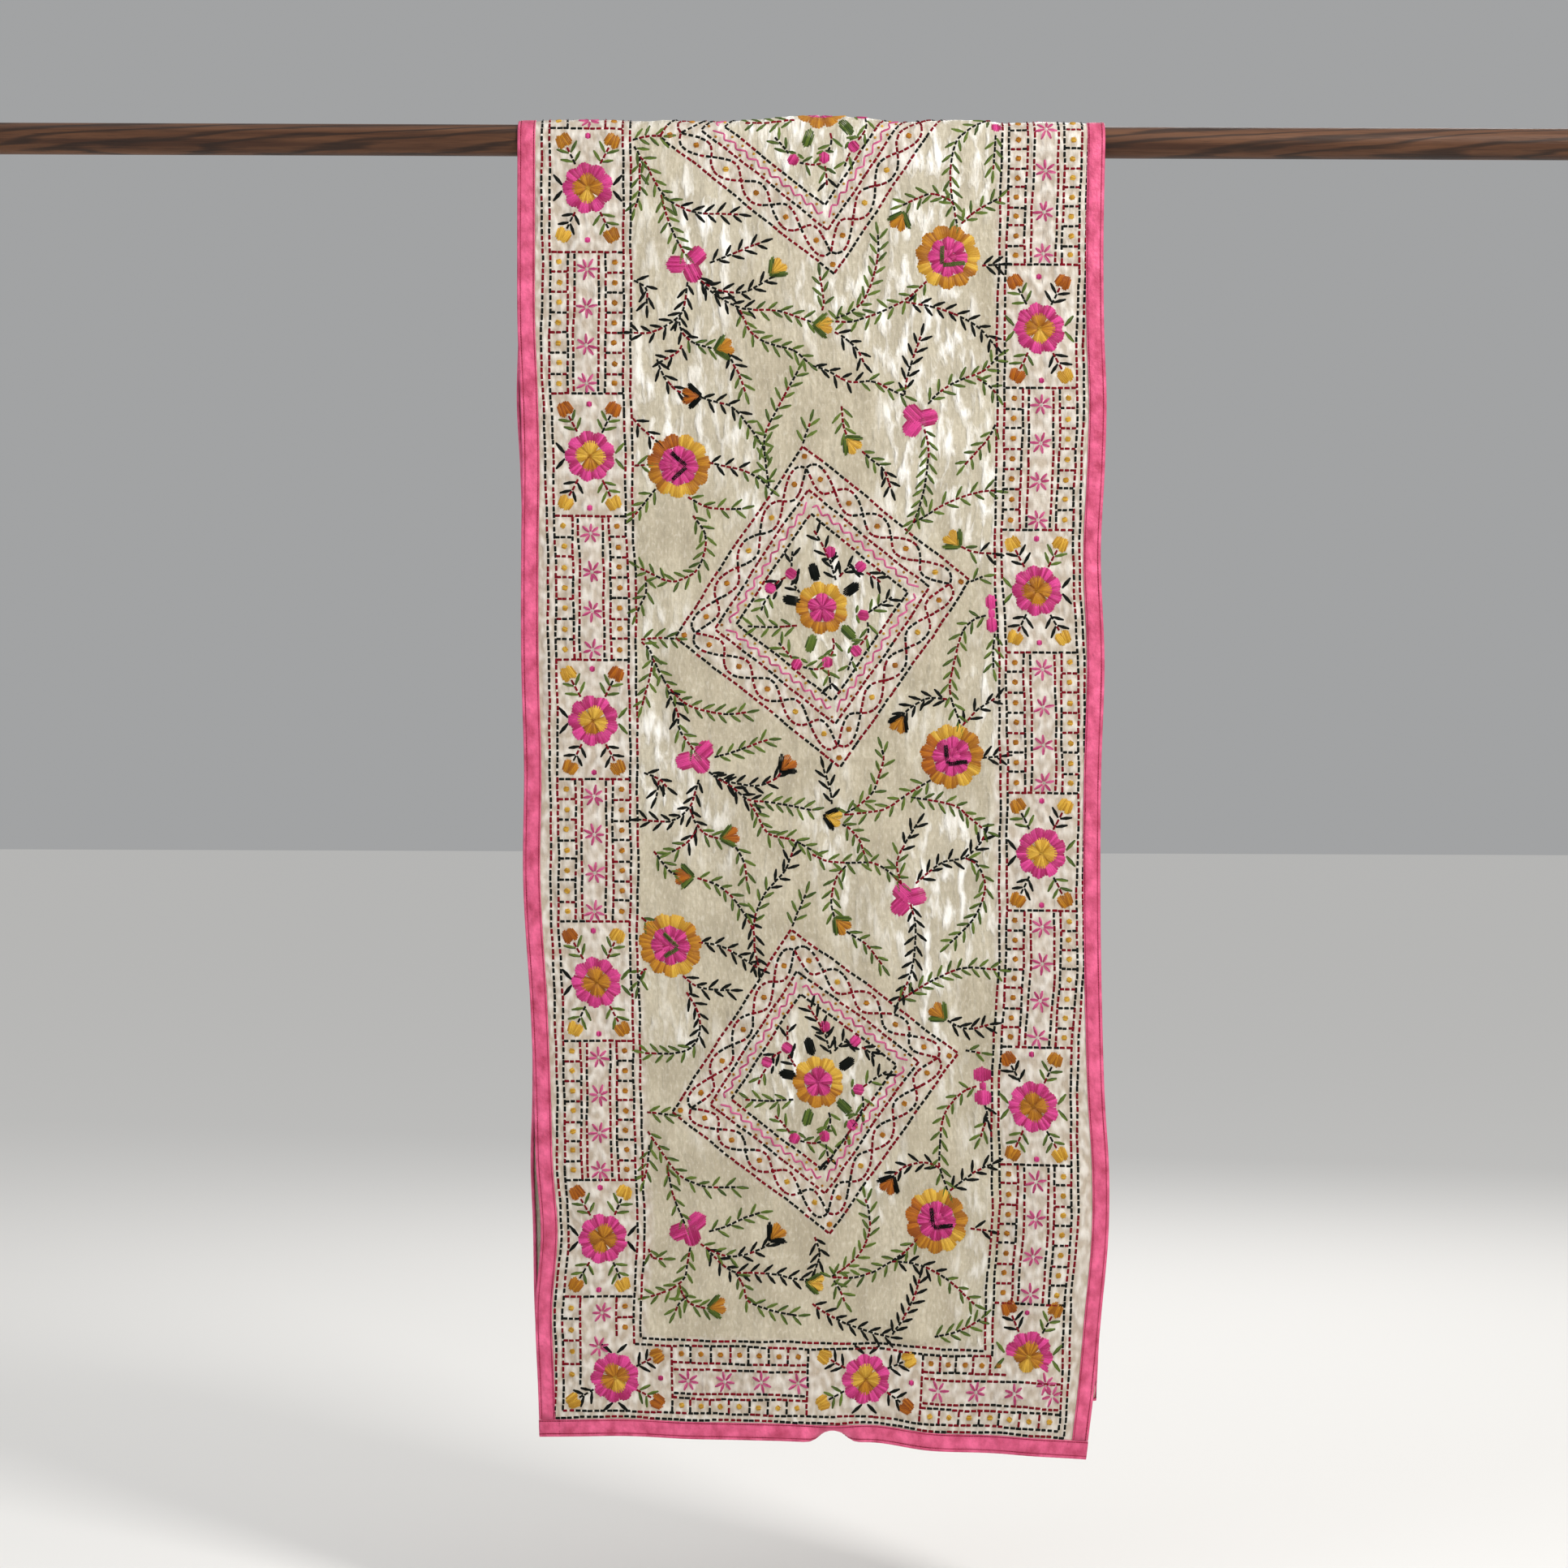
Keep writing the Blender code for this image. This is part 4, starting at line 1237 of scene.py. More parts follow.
VINES = (
    green((779, 173), (800, 168), (817, 169)),
    green((781, 180), (788, 193), (788, 215), (788, 238), (782, 257)),
    to_dark((788, 193), (796, 202), (809, 228), (822, 245), (840, 256), (863, 263), (910, 264)),
    green((814, 239), (822, 268), (827, 281), (835, 298), (844, 313)),
    dark((874, 324), (893, 317), (914, 308), (937, 299)),
    dark((858, 340), (870, 351), (893, 359), (916, 360), (934, 352), (947, 344)),
    to_green((863, 347), (881, 363), (906, 377), (929, 382), (957, 383), (983, 391), (1000, 397)),
    green((911, 381), (916, 391), (923, 406), (937, 419), (957, 426), (978, 432), (995, 446)),
    dark((847, 347), (844, 373), (838, 388), (819, 402), (801, 410), (780, 410)),
    to_green((838, 388), (837, 398), (842, 411), (855, 423), (878, 429)),
    dark((841, 424), (835, 434), (817, 444)),
    dark((809, 442), (817, 462), (830, 478), (840, 484)),
    to_green((863, 489), (881, 495), (903, 502), (921, 523), (934, 541), (942, 556)),
    to_green((897, 434), (904, 449), (911, 462), (918, 483)),
    dark((780, 345), (796, 355), (797, 376)),
    green((948, 600), (944, 577), (942, 551), (944, 531), (960, 500), (965, 490), (983, 457)),
    green((1222, 152), (1194, 161), (1179, 174), (1172, 202), (1172, 233), (1179, 276)),
    green((1176, 253), (1168, 245), (1148, 239), (1130, 245), (1112, 253)),
    green((1184, 276), (1204, 259), (1230, 245)),
    dark((1209, 327), (1231, 326)),
    green((1028, 393), (1046, 386), (1064, 370), (1076, 342), (1082, 312), (1082, 289)),
    green((1143, 346), (1115, 370), (1076, 388), (1051, 396), (1028, 396)),
    dark((1115, 372), (1143, 377), (1166, 383), (1189, 393), (1209, 406), (1224, 423)),
    dark((1028, 409), (1043, 418), (1057, 432), (1064, 447)),
    to_green((1000, 451), (1018, 456), (1038, 467), (1051, 471), (1076, 470), (1097, 480), (1115, 488)),
    dark((1115, 488), (1117, 470), (1125, 442), (1135, 414)),
    green((1143, 498), (1158, 483), (1179, 470), (1212, 457), (1230, 439)),
    green((1204, 466), (1219, 475), (1228, 485)),
    green((1013, 383), (1015, 370), (1010, 340)),
    green((1227, 166), (1224, 210)),
    dark((779, 515), (791, 528), (807, 542)),
    green((781, 574), (796, 573)),
    green((808, 602), (794, 620), (782, 635)),
    green((847, 612), (868, 624), (888, 627), (914, 627)),
    to_green((872, 570), (891, 574), (914, 579), (934, 589), (948, 602)),
    green((853, 635), (868, 656), (869, 676), (860, 701), (845, 712), (824, 716), (788, 700)),
    green((795, 709), (796, 730), (789, 745), (785, 755)),
    green((789, 788), (810, 786), (831, 787)),
    green((790, 790), (803, 806), (801, 832), (791, 870)),
    green((803, 810), (822, 844), (845, 867), (870, 876), (896, 880), (920, 878)),
    to_green((822, 850), (835, 878), (837, 898), (855, 925)),
    green((989, 548), (998, 520)),
    green((1037, 500), (1039, 523), (1043, 536)),
    to_dark((1061, 555), (1076, 568), (1089, 579), (1098, 602)),
    green((1139, 528), (1144, 551), (1143, 574), (1139, 600), (1133, 625), (1125, 645)),
    green((1125, 645), (1145, 633), (1163, 622), (1189, 611), (1214, 605), (1227, 605)),
    green((1227, 523), (1217, 541), (1204, 556), (1189, 573)),
    to_dark((1184, 673), (1199, 680), (1222, 682)),
    green((1195, 717), (1212, 710)),
    green((1216, 758), (1198, 765), (1184, 783), (1173, 829), (1171, 855), (1184, 893)),
    dark((1168, 862), (1145, 860), (1125, 870), (1110, 883)),
    dark((1186, 895), (1204, 875), (1227, 860)),
    green((1226, 780), (1224, 801), (1224, 824)),
    green((879, 933), (900, 928), (924, 919), (947, 911)),
    dark((873, 951), (888, 960), (911, 966), (934, 968), (955, 960), (962, 952)),
    to_green((878, 955), (901, 969), (921, 985), (944, 988), (970, 992), (1000, 998)),
    green((923, 989), (932, 1002), (943, 1024), (957, 1031), (977, 1035), (1000, 1047)),
    dark((861, 960), (856, 979), (850, 994), (832, 1010), (812, 1012), (791, 1010)),
    to_green((850, 996), (855, 1010), (868, 1027), (886, 1033)),
    to_green((858, 1022), (847, 1038), (827, 1050)),
    green((805, 1048), (816, 1062), (827, 1075), (836, 1077)),
    to_dark((858, 1082), (881, 1089), (901, 1104), (916, 1124), (928, 1146), (930, 1170), (935, 1191)),
    green((906, 1043), (915, 1058), (919, 1073), (920, 1086)),
    to_dark((928, 1145), (932, 1124), (944, 1099), (967, 1073), (976, 1050)),
    green((976, 1142), (983, 1124), (993, 1101)),
    green((790, 1130), (798, 1137)),
    dark((860, 1161), (881, 1164), (898, 1170), (916, 1181), (934, 1193)),
    green((798, 1193), (790, 1198), (786, 1215)),
    dark((841, 1202), (858, 1215), (878, 1219), (900, 1220)),
    to_green((845, 1221), (858, 1242), (863, 1262), (858, 1283), (845, 1294), (824, 1298), (794, 1297)),
    dark((793, 952), (812, 960), (822, 970)),
    dark((812, 961), (809, 982)),
    dark((1209, 934), (1232, 932)),
    green((1041, 1002), (1056, 994), (1076, 976), (1082, 959), (1089, 936), (1087, 923)),
    green((1147, 961), (1122, 976), (1089, 997), (1051, 1003), (1039, 1004)),
    green((1122, 982), (1153, 987), (1179, 994), (1194, 1007), (1217, 1025)),
    green((1037, 1015), (1048, 1022), (1059, 1035), (1065, 1053)),
    dark((1025, 992), (1023, 974), (1015, 947)),
    green((1000, 1052), (1020, 1061), (1051, 1063), (1074, 1063), (1094, 1073), (1111, 1090)),
    to_dark((1111, 1090), (1105, 1063), (1116, 1038), (1130, 1015)),
    dark((1128, 1089), (1143, 1076), (1163, 1062), (1189, 1057), (1207, 1040), (1213, 1030)),
    green((1189, 1057), (1204, 1066), (1214, 1089), (1209, 1114), (1196, 1137), (1170, 1163)),
    dark((1122, 1114), (1128, 1140), (1126, 1181), (1119, 1209), (1107, 1234)),
    green((1107, 1234), (1130, 1219), (1153, 1206), (1179, 1195), (1199, 1192), (1230, 1195)),
    green((1043, 1066), (1031, 1081), (1024, 1109), (1028, 1130)),
    green((1042, 1147), (1054, 1155), (1069, 1165), (1087, 1189)),
    dark((1167, 1257), (1184, 1266), (1201, 1267), (1219, 1262)),
    green((1189, 1294), (1209, 1297)),
    green((796, 1370), (824, 1373)),
    green((798, 1393), (817, 1422), (837, 1447), (858, 1458), (875, 1462), (907, 1462)),
    green((822, 1435), (826, 1458), (831, 1476), (837, 1491), (844, 1508)),
    green((800, 1410), (798, 1433), (794, 1453)),
    green((873, 1517), (896, 1510), (914, 1501), (937, 1493)),
    to_dark((863, 1532), (878, 1541), (896, 1547), (914, 1546), (937, 1538), (949, 1530)),
    dark((870, 1537), (888, 1555), (906, 1567), (929, 1567), (957, 1569), (975, 1574), (998, 1576)),
    green((906, 1567), (916, 1583), (921, 1601), (939, 1609), (957, 1615), (983, 1620)),
    green((851, 1535), (847, 1555), (844, 1573), (830, 1586), (817, 1592), (801, 1597)),
    green((837, 1581), (842, 1596), (853, 1607), (870, 1611)),
    green((849, 1595), (837, 1605), (832, 1616)),
    green((799, 1537), (804, 1549), (817, 1551)),
    to_green((1213, 1361), (1217, 1374), (1212, 1389), (1208, 1402)),
    green((1204, 1338), (1184, 1347), (1163, 1374), (1158, 1415), (1158, 1438), (1168, 1467)),
    dark((1158, 1439), (1145, 1433), (1128, 1433), (1112, 1439), (1102, 1448)),
    dark((1170, 1467), (1189, 1453), (1204, 1442), (1222, 1434)),
    dark((1195, 1513), (1217, 1516)),
    green((1131, 1526), (1115, 1542), (1098, 1554), (1076, 1567), (1051, 1574), (1024, 1573)),
    to_green((1098, 1554), (1122, 1556), (1138, 1560), (1158, 1570), (1179, 1586), (1201, 1607)),
    green((1024, 1573), (1046, 1558), (1061, 1542), (1071, 1519), (1071, 1496), (1066, 1476)),
    dark((1000, 1605), (1020, 1619), (1046, 1632), (1076, 1642), (1097, 1647)),
    dark((1099, 1644), (1110, 1629), (1120, 1611), (1128, 1593), (1133, 1575)),
    green((1150, 1647), (1173, 1642), (1194, 1634), (1209, 1624)),
    green((1027, 1577), (1036, 1592), (1041, 1604)),
    dark((1003, 1523), (1010, 1543), (1005, 1562)),
)

# The sprigs inside a diamond, in pixels from its centre
GARDEN_VINES = (
    dark((10, -60), (1, -78), (-10, -96)),
    dark((18, -34), (14, -48), (11, -60)),
    dark((22, -38), (34, -50), (42, -50)),
    dark((56, -44), (66, -38), (74, -31)),
    to_dark((57, 6), (72, -4), (88, -14)),
    dark((-37, -50), (-37, -60), (-36, -70)),
    dark((-27, -18), (-32, -25), (-37, -34)),
    dark((-44, -38), (-52, -34), (-58, -28)),
    green((-65, -16), (-72, -6), (-76, 4)),
    green((-31, 22), (-62, 24), (-94, 23)),
    green((-38, 63), (-47, 52), (-56, 42)),
    green((-26, 73), (-10, 76), (2, 74)),
    to_dark((6, 76), (8, 88), (9, 102)),
    green((12, 36), (14, 48), (9, 60)),
    green((37, 60), (33, 69), (30, 78)),
    green((56, 16), (56, 32), (46, 46)),
)

# The sizes of filled forms, in pixels, and how their threads lie
Ring = namedtuple("Ring", "inner outer lobes count notch parallel")
BORDER_RING = Ring(15.5, 32.0, 9, 54, 0.12, 0.13)
FIELD_RING = Ring(23, 40.5, 11, 72, 0.11, 0.13)
FIELD_HEART = Ring(9, 26, 8, 48, 0.16, 0.14)
FIELD_MIDDLE = Ring(0, 12, 5, 20, 0.20, 0.14)
GARDEN_RING = Ring(17, 33, 9, 56, 0.12, 0.13)
TULIP_FAN = Ring(1, 24, 11, 10, 0.16, 0.1)

# Where each ring of a field flower starts, in degrees
FIELD_RING_START = 10.0
FIELD_HEART_START = 25.0
FIELD_MIDDLE_START = 40.0
FIELD_MIDDLE_HEIGHT = 1.2 * HEART_HEIGHT

# The petals at a flower's heart, a dark stitch between two that is a painted shadow line, and the knot on
# top
HEART_REACH = 20
PETAL_START = 0.03 * HEART_REACH
PETAL_THREADS = 8
PETAL_NOTCH = 0.21
PETAL_PARALLEL = 0.14
PETAL_LENGTHS = (0.97, 1.05)
PETAL_SHADOW_SHARES = (0.2, 0.80)
PETAL_SHADOW_WIDTH = 0.0010
PETAL_SHADOW_HEIGHT = 1.05 * HEART_HEIGHT
PETAL_SHADOW_DEEPER = 4.0
KNOT_HEADING = 20
KNOT_HEIGHT = 1.3 * HEART_HEIGHT

# How threads overlap and vary in satin stitch, and how the edge of a lobe or an oval is rounded,
# sunk and deepened in tone as painted shade
RING_OVERLAP = 1.50
RING_UNEVENNESS = 0.012
LOBE_ROUND = 2.2
LOBE_SINK = 0.5
LOBE_PAINTED_SHADE = 3.2
OVAL_OVERLAP = 1.35
OVAL_UNEVENNESS = 0.05
OVAL_ROUND = 0.8
OVAL_SINK = 0.5
OVAL_PAINTED_SHADE = 3.0

# The buds and leaves about a border flower, in pixels, degrees and shares of the flower's reach
BORDER_FLOWER_REACH = (30, 58)
HEM_FLOWER_REACH = (55, 29)
OTHER_PETAL_CHANCE = 0.4
BUD_STEM_SHARES = (0.49, 0.87, 1.0)
BUD_LEAF_SHARES = (0.15, 0.62)
BUD_LEAF_SPREAD = 52
BUD_GREEN_CHANCE = 0.55
BUD_LOBE_OUT = 3.9
BUD_LOBE_TURN = 9
SIDE_LEAF_BASE = (31, 3)
SIDE_LEAF_STEP = (12, 14)
SIDE_LEAF_LENGTH = 18 * PIXEL
SIDE_LEAF_BOW = 0.0011

# Star flowers: how many rays they may have, where the rays start and end in pixels, and the bow,
# width and tone of a ray's two threads
STAR_RAYS = (6, 7, 7)
STAR_RAY_START = 2.0
STAR_RAY_ENDS = (12.0, 15.0)
STAR_RAY_BOW = 0.00070
STAR_RAY_WIDTH = 0.0019
STAR_RAY_DEEPER = 0.6

# The angular mark on a field flower
MARK_STRAND_GAP = 0.0013
MARK_WIDTH = 0.0024
MARK_HEIGHT = 0.0028

# Blossoms, bows and half-open flowers, in pixels and degrees
BLOSSOM_LOBE_SHARE = 0.88
BOW_LOBE_OUT = 14
BOW_LOBE_LENGTH = 20 * PIXEL
BOW_LOBE_THREADS = 7
TULIP_BASE = 12
TULIP_OPENING = 66
SEPAL_SPREAD = 43
SEPAL_OUT = 10

# The garden inside a diamond, in pixels and degrees: where its ring is ochre, and its petals,
# buds and leaves
GARDEN_OCHRE = (20, 215)
GARDEN_PETALS = 5
GARDEN_FIRST_PETAL = 270.0
GARDEN_BUD_BASE = 9
GARDEN_LEAF_TURN = 10
GARDEN_LEAF_SPREAD = 75
GARDEN_LEAF_LENGTH = 0.0085

CORNERS = ((-1, -1), (1, -1), (-1, 1), (1, 1))
SIDES = (-1.0, 1.0)

# Filled ovals, by length, width and how many threads fill them
Oval = namedtuple("Oval", "length width count")
BLOSSOM_LOBE = Oval(26 * PIXEL, 21 * PIXEL, 9)
BUD_LOBE = Oval(18.5 * PIXEL, 10.5 * PIXEL, 5)
BOW_KNOT = Oval(12 * PIXEL, 8 * PIXEL, 3)
SEPAL = Oval(25 * PIXEL, 7 * PIXEL, 4)
GARDEN_LEAF = Oval(24 * PIXEL, 12 * PIXEL, 6)
GARDEN_BUD = Oval(15 * PIXEL, 13 * PIXEL, 7)
HEART_KNOT = Oval(0.0056, 0.0048, 4)
PINK_DOT = Oval(0.0058, 0.0050, 4)

# Dots of thread
DOT_SIZE = 0.0060
DOT_WIDTH_SHARE = 0.8
DOT_THREADS = 4
DOT_SHIFT = 0.0003
DOT_TURN = 20
ZIGZAG_DOT_SIZE = 0.0028
STAR_DOT_SIZE = 0.0017

# Which thread a field flower's ring has up to each angle, from the side it is turned to
FIELD_RING_THREADS = (
    (45, "second"), (115, "first"), (200, "ochre"), (255, "first"), (315, "ochre"), (360, "second"),
)


def heading_vector(angle):
    """A unit step on the flat cloth, by degrees from its right edge towards the front hem."""
    return np.array([math.cos(math.radians(angle)), math.sin(math.radians(angle))])


def heading_of(step):
    return math.degrees(math.atan2(step[1], step[0]))


def pixels_from(centre, x, y):
    """The flat place that lies some pixels right of and below another."""
    return np.array([centre[0] + x * PIXEL, centre[1] + y * PIXEL])


def curve_path(points, steps=8):
    """A smooth curve through flat places."""
    p = np.asarray(points, float)
    if len(p) < 3:
        return p
    p = np.concatenate([[2 * p[0] - p[1]], p, [2 * p[-1] - p[-2]]])
    t = np.linspace(0.0, 1.0, steps, endpoint=False)[:, None]
    spans = [
        0.5 * (2 * b + (c - a) * t + (2 * a - 5 * b + 4 * c - d) * t**2 + (3 * b - a - 3 * c + d) * t**3)
        for a, b, c, d in zip(p, p[1:], p[2:], p[3:])
    ]
    return np.concatenate(spans + [p[-2:-1]])


class Path:
    """Flat places along a line, found by the length from its start."""

    def __init__(self, points):
        self.points = np.asarray(points, float)
        steps = np.linalg.norm(np.diff(self.points, axis=0), axis=1)
        self.reached = np.concatenate([[0.0], np.cumsum(steps)])
        self.length = self.reached[-1]

    def at(self, length):
        places = [np.interp(length, self.reached, line) for line in self.points.T]
        return np.stack(places, axis=-1)

    def heading(self, length):
        return heading_of(self.at(length + HEADING_STEP) - self.at(length - HEADING_STEP))


class Embroidery:
    """Stitches gathered by thread, each as start, end, bow, width, height and tone."""

    def __init__(self, seed):
        self.rng = np.random.default_rng(seed)
        self.satin = defaultdict(list)
        self.runs = defaultdict(list)

    def jitter(self, size):
        return self.rng.normal(0.0, size)

    def either(self, chance, first, second):
        return first if self.rng.random() < chance else second

    def add(self, thread, start, end, width, height, bow=0.0, deeper=0.0):
        tone = self.rng.uniform(*SATIN_TONES) + deeper
        self.satin[thread].append((*start, *end, bow, width, height, tone))

    def run(self, points, wine=0.0, pitch=RUN_PITCH, width=RUN_WIDTH, drift=LINE_DRIFT):
        """Running stitch in a thread dyed black and wine red by turns. More wine makes more red."""
        path = Path(points)
        count = max(1, round(path.length / pitch))
        step = path.length / count
        phase = self.rng.uniform(0.0, 2.0 * math.pi, 3)
        middle = (np.arange(count) + 0.5) * step + self.rng.normal(0.0, STITCH_SHIFT * step, count)
        half = 0.5 * RUN_SHARE * step * self.rng.uniform(*STITCH_LENGTHS, count)
        starts, ends = path.at(middle - half), path.at(middle + half)
        run = ends - starts
        normal = np.stack([run[:, 1], -run[:, 0]], axis=-1) / np.linalg.norm(run, axis=1)[:, None]
        long, short = (middle / wave for wave in DRIFT_WAVES)
        away = drift * (np.sin(long + phase[0]) + SHORT_DRIFT_SHARE * np.sin(short + phase[1]))
        away *= np.clip(path.length / SHORT_LINE, LEAST_DRIFT, 1.0)
        away += self.rng.normal(0.0, STITCH_DRIFT, count)
        starts = starts + normal * away[:, None]
        ends = ends + normal * away[:, None]
        long, short = (middle / wave for wave in DYE_WAVES)
        dye = np.sin(long + phase[2]) + SHORT_DYE_SHARE * np.sin(short + phase[0]) + wine
        tones = self.rng.uniform(-1.0, 1.0, count)
        for start, end, red, tone in zip(starts, ends, dye > WINE_LIMIT, tones):
            self.runs[WINE if red else DARK].append((*start, *end, 0.0, width, RUN_HEIGHT, tone))
        for end, start, tone in zip(ends, starts[1:], tones):
            self.runs[PUCKER].append((*end, *start, 0.0, PUCKER_WIDTH, PUCKER_HEIGHT, tone))

    def stem(self, points, wine, drift):
        self.run(points, wine, STEM_PITCH, STEM_WIDTH, drift)

    def leaf(self, thread, base, heading, length=LEAF_LENGTH, bow=LEAF_BOW):
        """Three strands that bow apart between the leaf's base and its tip."""
        tip = base + heading_vector(heading) * length
        for side in (-1.0, 1.0, 0.0):
            self.add(thread, base, tip, STRAND_WIDTH, LEAF_HEIGHT, side * bow)

    def leaf_pair(self, thread, base, heading, spread, length=LEAF_LENGTH):
        for side in SIDES:
            angle = heading + side * (spread + self.jitter(5))
            start = base + heading_vector(angle) * PAIR_OFF_STEM
            self.leaf(thread, start, angle, length * self.rng.uniform(*PAIR_LENGTHS))

    def vine(self, vine, centre=None):
        """A stem in running stitch, with leaves that turn from side to side, up to its tip where it
        lies in the field, or short of it inside a diamond, by pixels from the diamond's centre."""
        field = centre is None
        points = [flat_place(x, y) if field else pixels_from(centre, x, y) for x, y in vine.points]
        path = Path(curve_path(points))
        self.stem(path.points, self.rng.uniform(*VINE_WINES), STEADY_DRIFT)
        count = max(1, round(path.length / (LEAF_SPACING * self.rng.uniform(*LEAF_SPACINGS))))
        step = path.length / count
        late = self.rng.uniform(*LEAF_DELAYS)
        for i in range(count):
            for side, start in ((-1.0, LEAF_START), (1.0, LEAF_START + late)):
                length = (i + start) * step
                heading = path.heading(length)
                angle = heading + side * (LEAF_ANGLE + self.jitter(6))
                base = path.at(length) + heading_vector(heading + side * 90) * LEAF_OFF_STEM
                thread = vine.first if length < path.length / 2 else vine.last
                self.leaf(thread, base, angle, LEAF_LENGTH * self.rng.uniform(*LEAF_LENGTHS))
        if field:
            heading = path.heading(path.length - 0.001) + self.jitter(8)
            self.leaf(vine.last, path.at(path.length), heading)

    def ring(self, thread, centre, form, first=0.0, turn=360.0, height=SATIN_HEIGHT):
        """Satin stitch round a centre. Its threads lean together in each lobe, and dip between lobes,
        where they are painted deeper as painted shade.
        """
        inner, outer = form.inner * PIXEL, form.outer * PIXEL
        width = RING_OVERLAP * math.radians(turn) * (0.25 * inner + 0.75 * outer) / form.count
        for i in range(form.count):
            angle = first + turn * (i + 0.5) / form.count
            within = ((angle - first) * form.lobes / 360.0) % 1.0 - 0.5
            off = 2.0 * abs(within)
            reach = outer * (1.0 - form.notch * off**LOBE_ROUND) * (1.0 + self.jitter(RING_UNEVENNESS))
            lean = -form.parallel * within * 360.0 / form.lobes
            start = centre + heading_vector(angle) * inner
            end = start + heading_vector(angle + lean) * (reach - inner)
            chosen = thread(angle % 360.0) if callable(thread) else thread
            dip = off**5
            self.add(chosen, start, end, width, height * (1.0 - LOBE_SINK * dip), 0.0, LOBE_PAINTED_SHADE * dip)

    def petals(self, threads, centre, count, first=0.0):
        """Plump petals about a knot, in turn from the given threads, with a dark stitch between two as a
        painted shadow line.
        """
        wide = 360.0 / count
        for i in range(count):
            start = first + wide * (i - 0.5) + self.jitter(3)
            long = HEART_REACH * self.rng.uniform(*PETAL_LENGTHS)
            petal = Ring(PETAL_START, long, count, PETAL_THREADS, PETAL_NOTCH, PETAL_PARALLEL)
            thread = threads[i % len(threads)]
            self.ring(thread, centre, petal, start, wide, HEART_HEIGHT)
            # A dark stitch in the thread's deeper shade along the edge between two petals: a painted
            # shadow line
            fold = heading_vector(start) * HEART_REACH * PIXEL
            ends = (centre + fold * share for share in PETAL_SHADOW_SHARES)
            self.add(thread, *ends, PETAL_SHADOW_WIDTH, PETAL_SHADOW_HEIGHT, 0.0, PETAL_SHADOW_DEEPER)
        self.oval(threads[1 % len(threads)], centre, KNOT_HEADING, HEART_KNOT, KNOT_HEIGHT)

    def oval(self, thread, centre, heading, form, height=SATIN_HEIGHT):
        """Satin stitch that fills an oval, its threads along its length, the side threads painted deeper
        as painted shade.
        """
        along = heading_vector(heading)
        over = heading_vector(heading + 90)
        width = OVAL_OVERLAP * form.width / form.count
        for i in range(form.count):
            u = 2.0 * (i + 0.5) / form.count - 1.0
            rounded = math.sqrt(1.0 - OVAL_ROUND * u * u)
            half = 0.5 * form.length * rounded * (1.0 + self.jitter(OVAL_UNEVENNESS))
            middle = centre + over * (u * form.width / 2)
            self.add(thread, middle - along * half, middle + along * half, width,
                     height * (1.0 - OVAL_SINK * u**4), 0.0, OVAL_PAINTED_SHADE * u**4)

    def dot(self, thread, centre, size=DOT_SIZE):
        place = centre + self.rng.normal(0.0, DOT_SHIFT, 2)
        self.oval(thread, place, self.jitter(DOT_TURN), Oval(size, size * DOT_WIDTH_SHARE, DOT_THREADS))

    def star(self, centre):
        """A star of pale pink rays, with a white stitch at its heart."""
        rays = int(self.rng.choice(STAR_RAYS))
        first = self.rng.uniform(0, 360)
        for i in range(rays):
            ray = heading_vector(first + 360 * i / rays + self.jitter(5))
            start = centre + ray * STAR_RAY_START * PIXEL
            end = centre + ray * self.rng.uniform(*STAR_RAY_ENDS) * PIXEL
            for side in SIDES:
                bow, deeper = side * STAR_RAY_BOW, STAR_RAY_DEEPER * (1 + side)
                self.add(PALE, start, end, STAR_RAY_WIDTH, RUN_HEIGHT, bow, deeper)
        self.dot(WHITE, centre, STAR_DOT_SIZE)

    def border_bud(self, thread, centre, heading):
        """A plump bud of a border flower, two satin lobes side by side."""
        for side in SIDES:
            middle = centre + heading_vector(heading + 90) * side * BUD_LOBE_OUT * PIXEL
            self.oval(thread, middle, heading - side * BUD_LOBE_TURN, BUD_LOBE)

    def border_flower(self, flower, reach=BORDER_FLOWER_REACH, first=0.0, turn=360.0):
        """A pink scalloped ring about a heart of four petals, with a bud on a stem at each corner."""
        centre = flat_place(flower.x, flower.y)
        form = BORDER_RING._replace(count=round(BORDER_RING.count * turn / 360.0))
        self.ring(PINK, centre, form, first, turn)
        heart = flower.heart
        other = self.either(OTHER_PETAL_CHANCE, OCHRE if heart == YELLOW else YELLOW, heart)
        self.petals((heart, other, heart, heart), centre, 4, self.jitter(8))
        for thread, (side, down) in zip(flower.buds, CORNERS):
            if thread is None:
                continue
            leaves = self.either(BUD_GREEN_CHANCE, GREEN, DARK)
            base, tip, bud = (
                pixels_from(centre, share * reach[0] * side, share * reach[1] * down)
                for share in BUD_STEM_SHARES
            )
            heading = heading_of(tip - base)
            self.stem([base, tip], 0.6, 0.0)
            for share in BUD_LEAF_SHARES:
                self.leaf_pair(leaves, base + (tip - base) * share, heading, BUD_LEAF_SPREAD)
            self.border_bud(thread, bud, heading)
        upright = reach[0] < reach[1]
        for side in (-1, 1):
            leaves = self.either(0.5, GREEN, DARK)
            for way in (-1, 1):
                base, step = ((x * side, y * way) for x, y in (SIDE_LEAF_BASE, SIDE_LEAF_STEP))
                if not upright:
                    base, step = base[::-1], step[::-1]
                self.leaf(leaves, pixels_from(centre, *base), heading_of(step),
                          SIDE_LEAF_LENGTH, SIDE_LEAF_BOW)
        return centre

    def pink_dot(self, centre):
        self.oval(PINK, centre, 90, PINK_DOT)

    def field_flower(self, flower):
        centre = flat_place(flower.x, flower.y)
        threads = {"first": flower.first, "second": flower.second, "ochre": OCHRE}

        def ring_thread(angle):
            turned = (angle - flower.heading) % 360
            return threads[next(name for last, name in FIELD_RING_THREADS if turned <= last)]

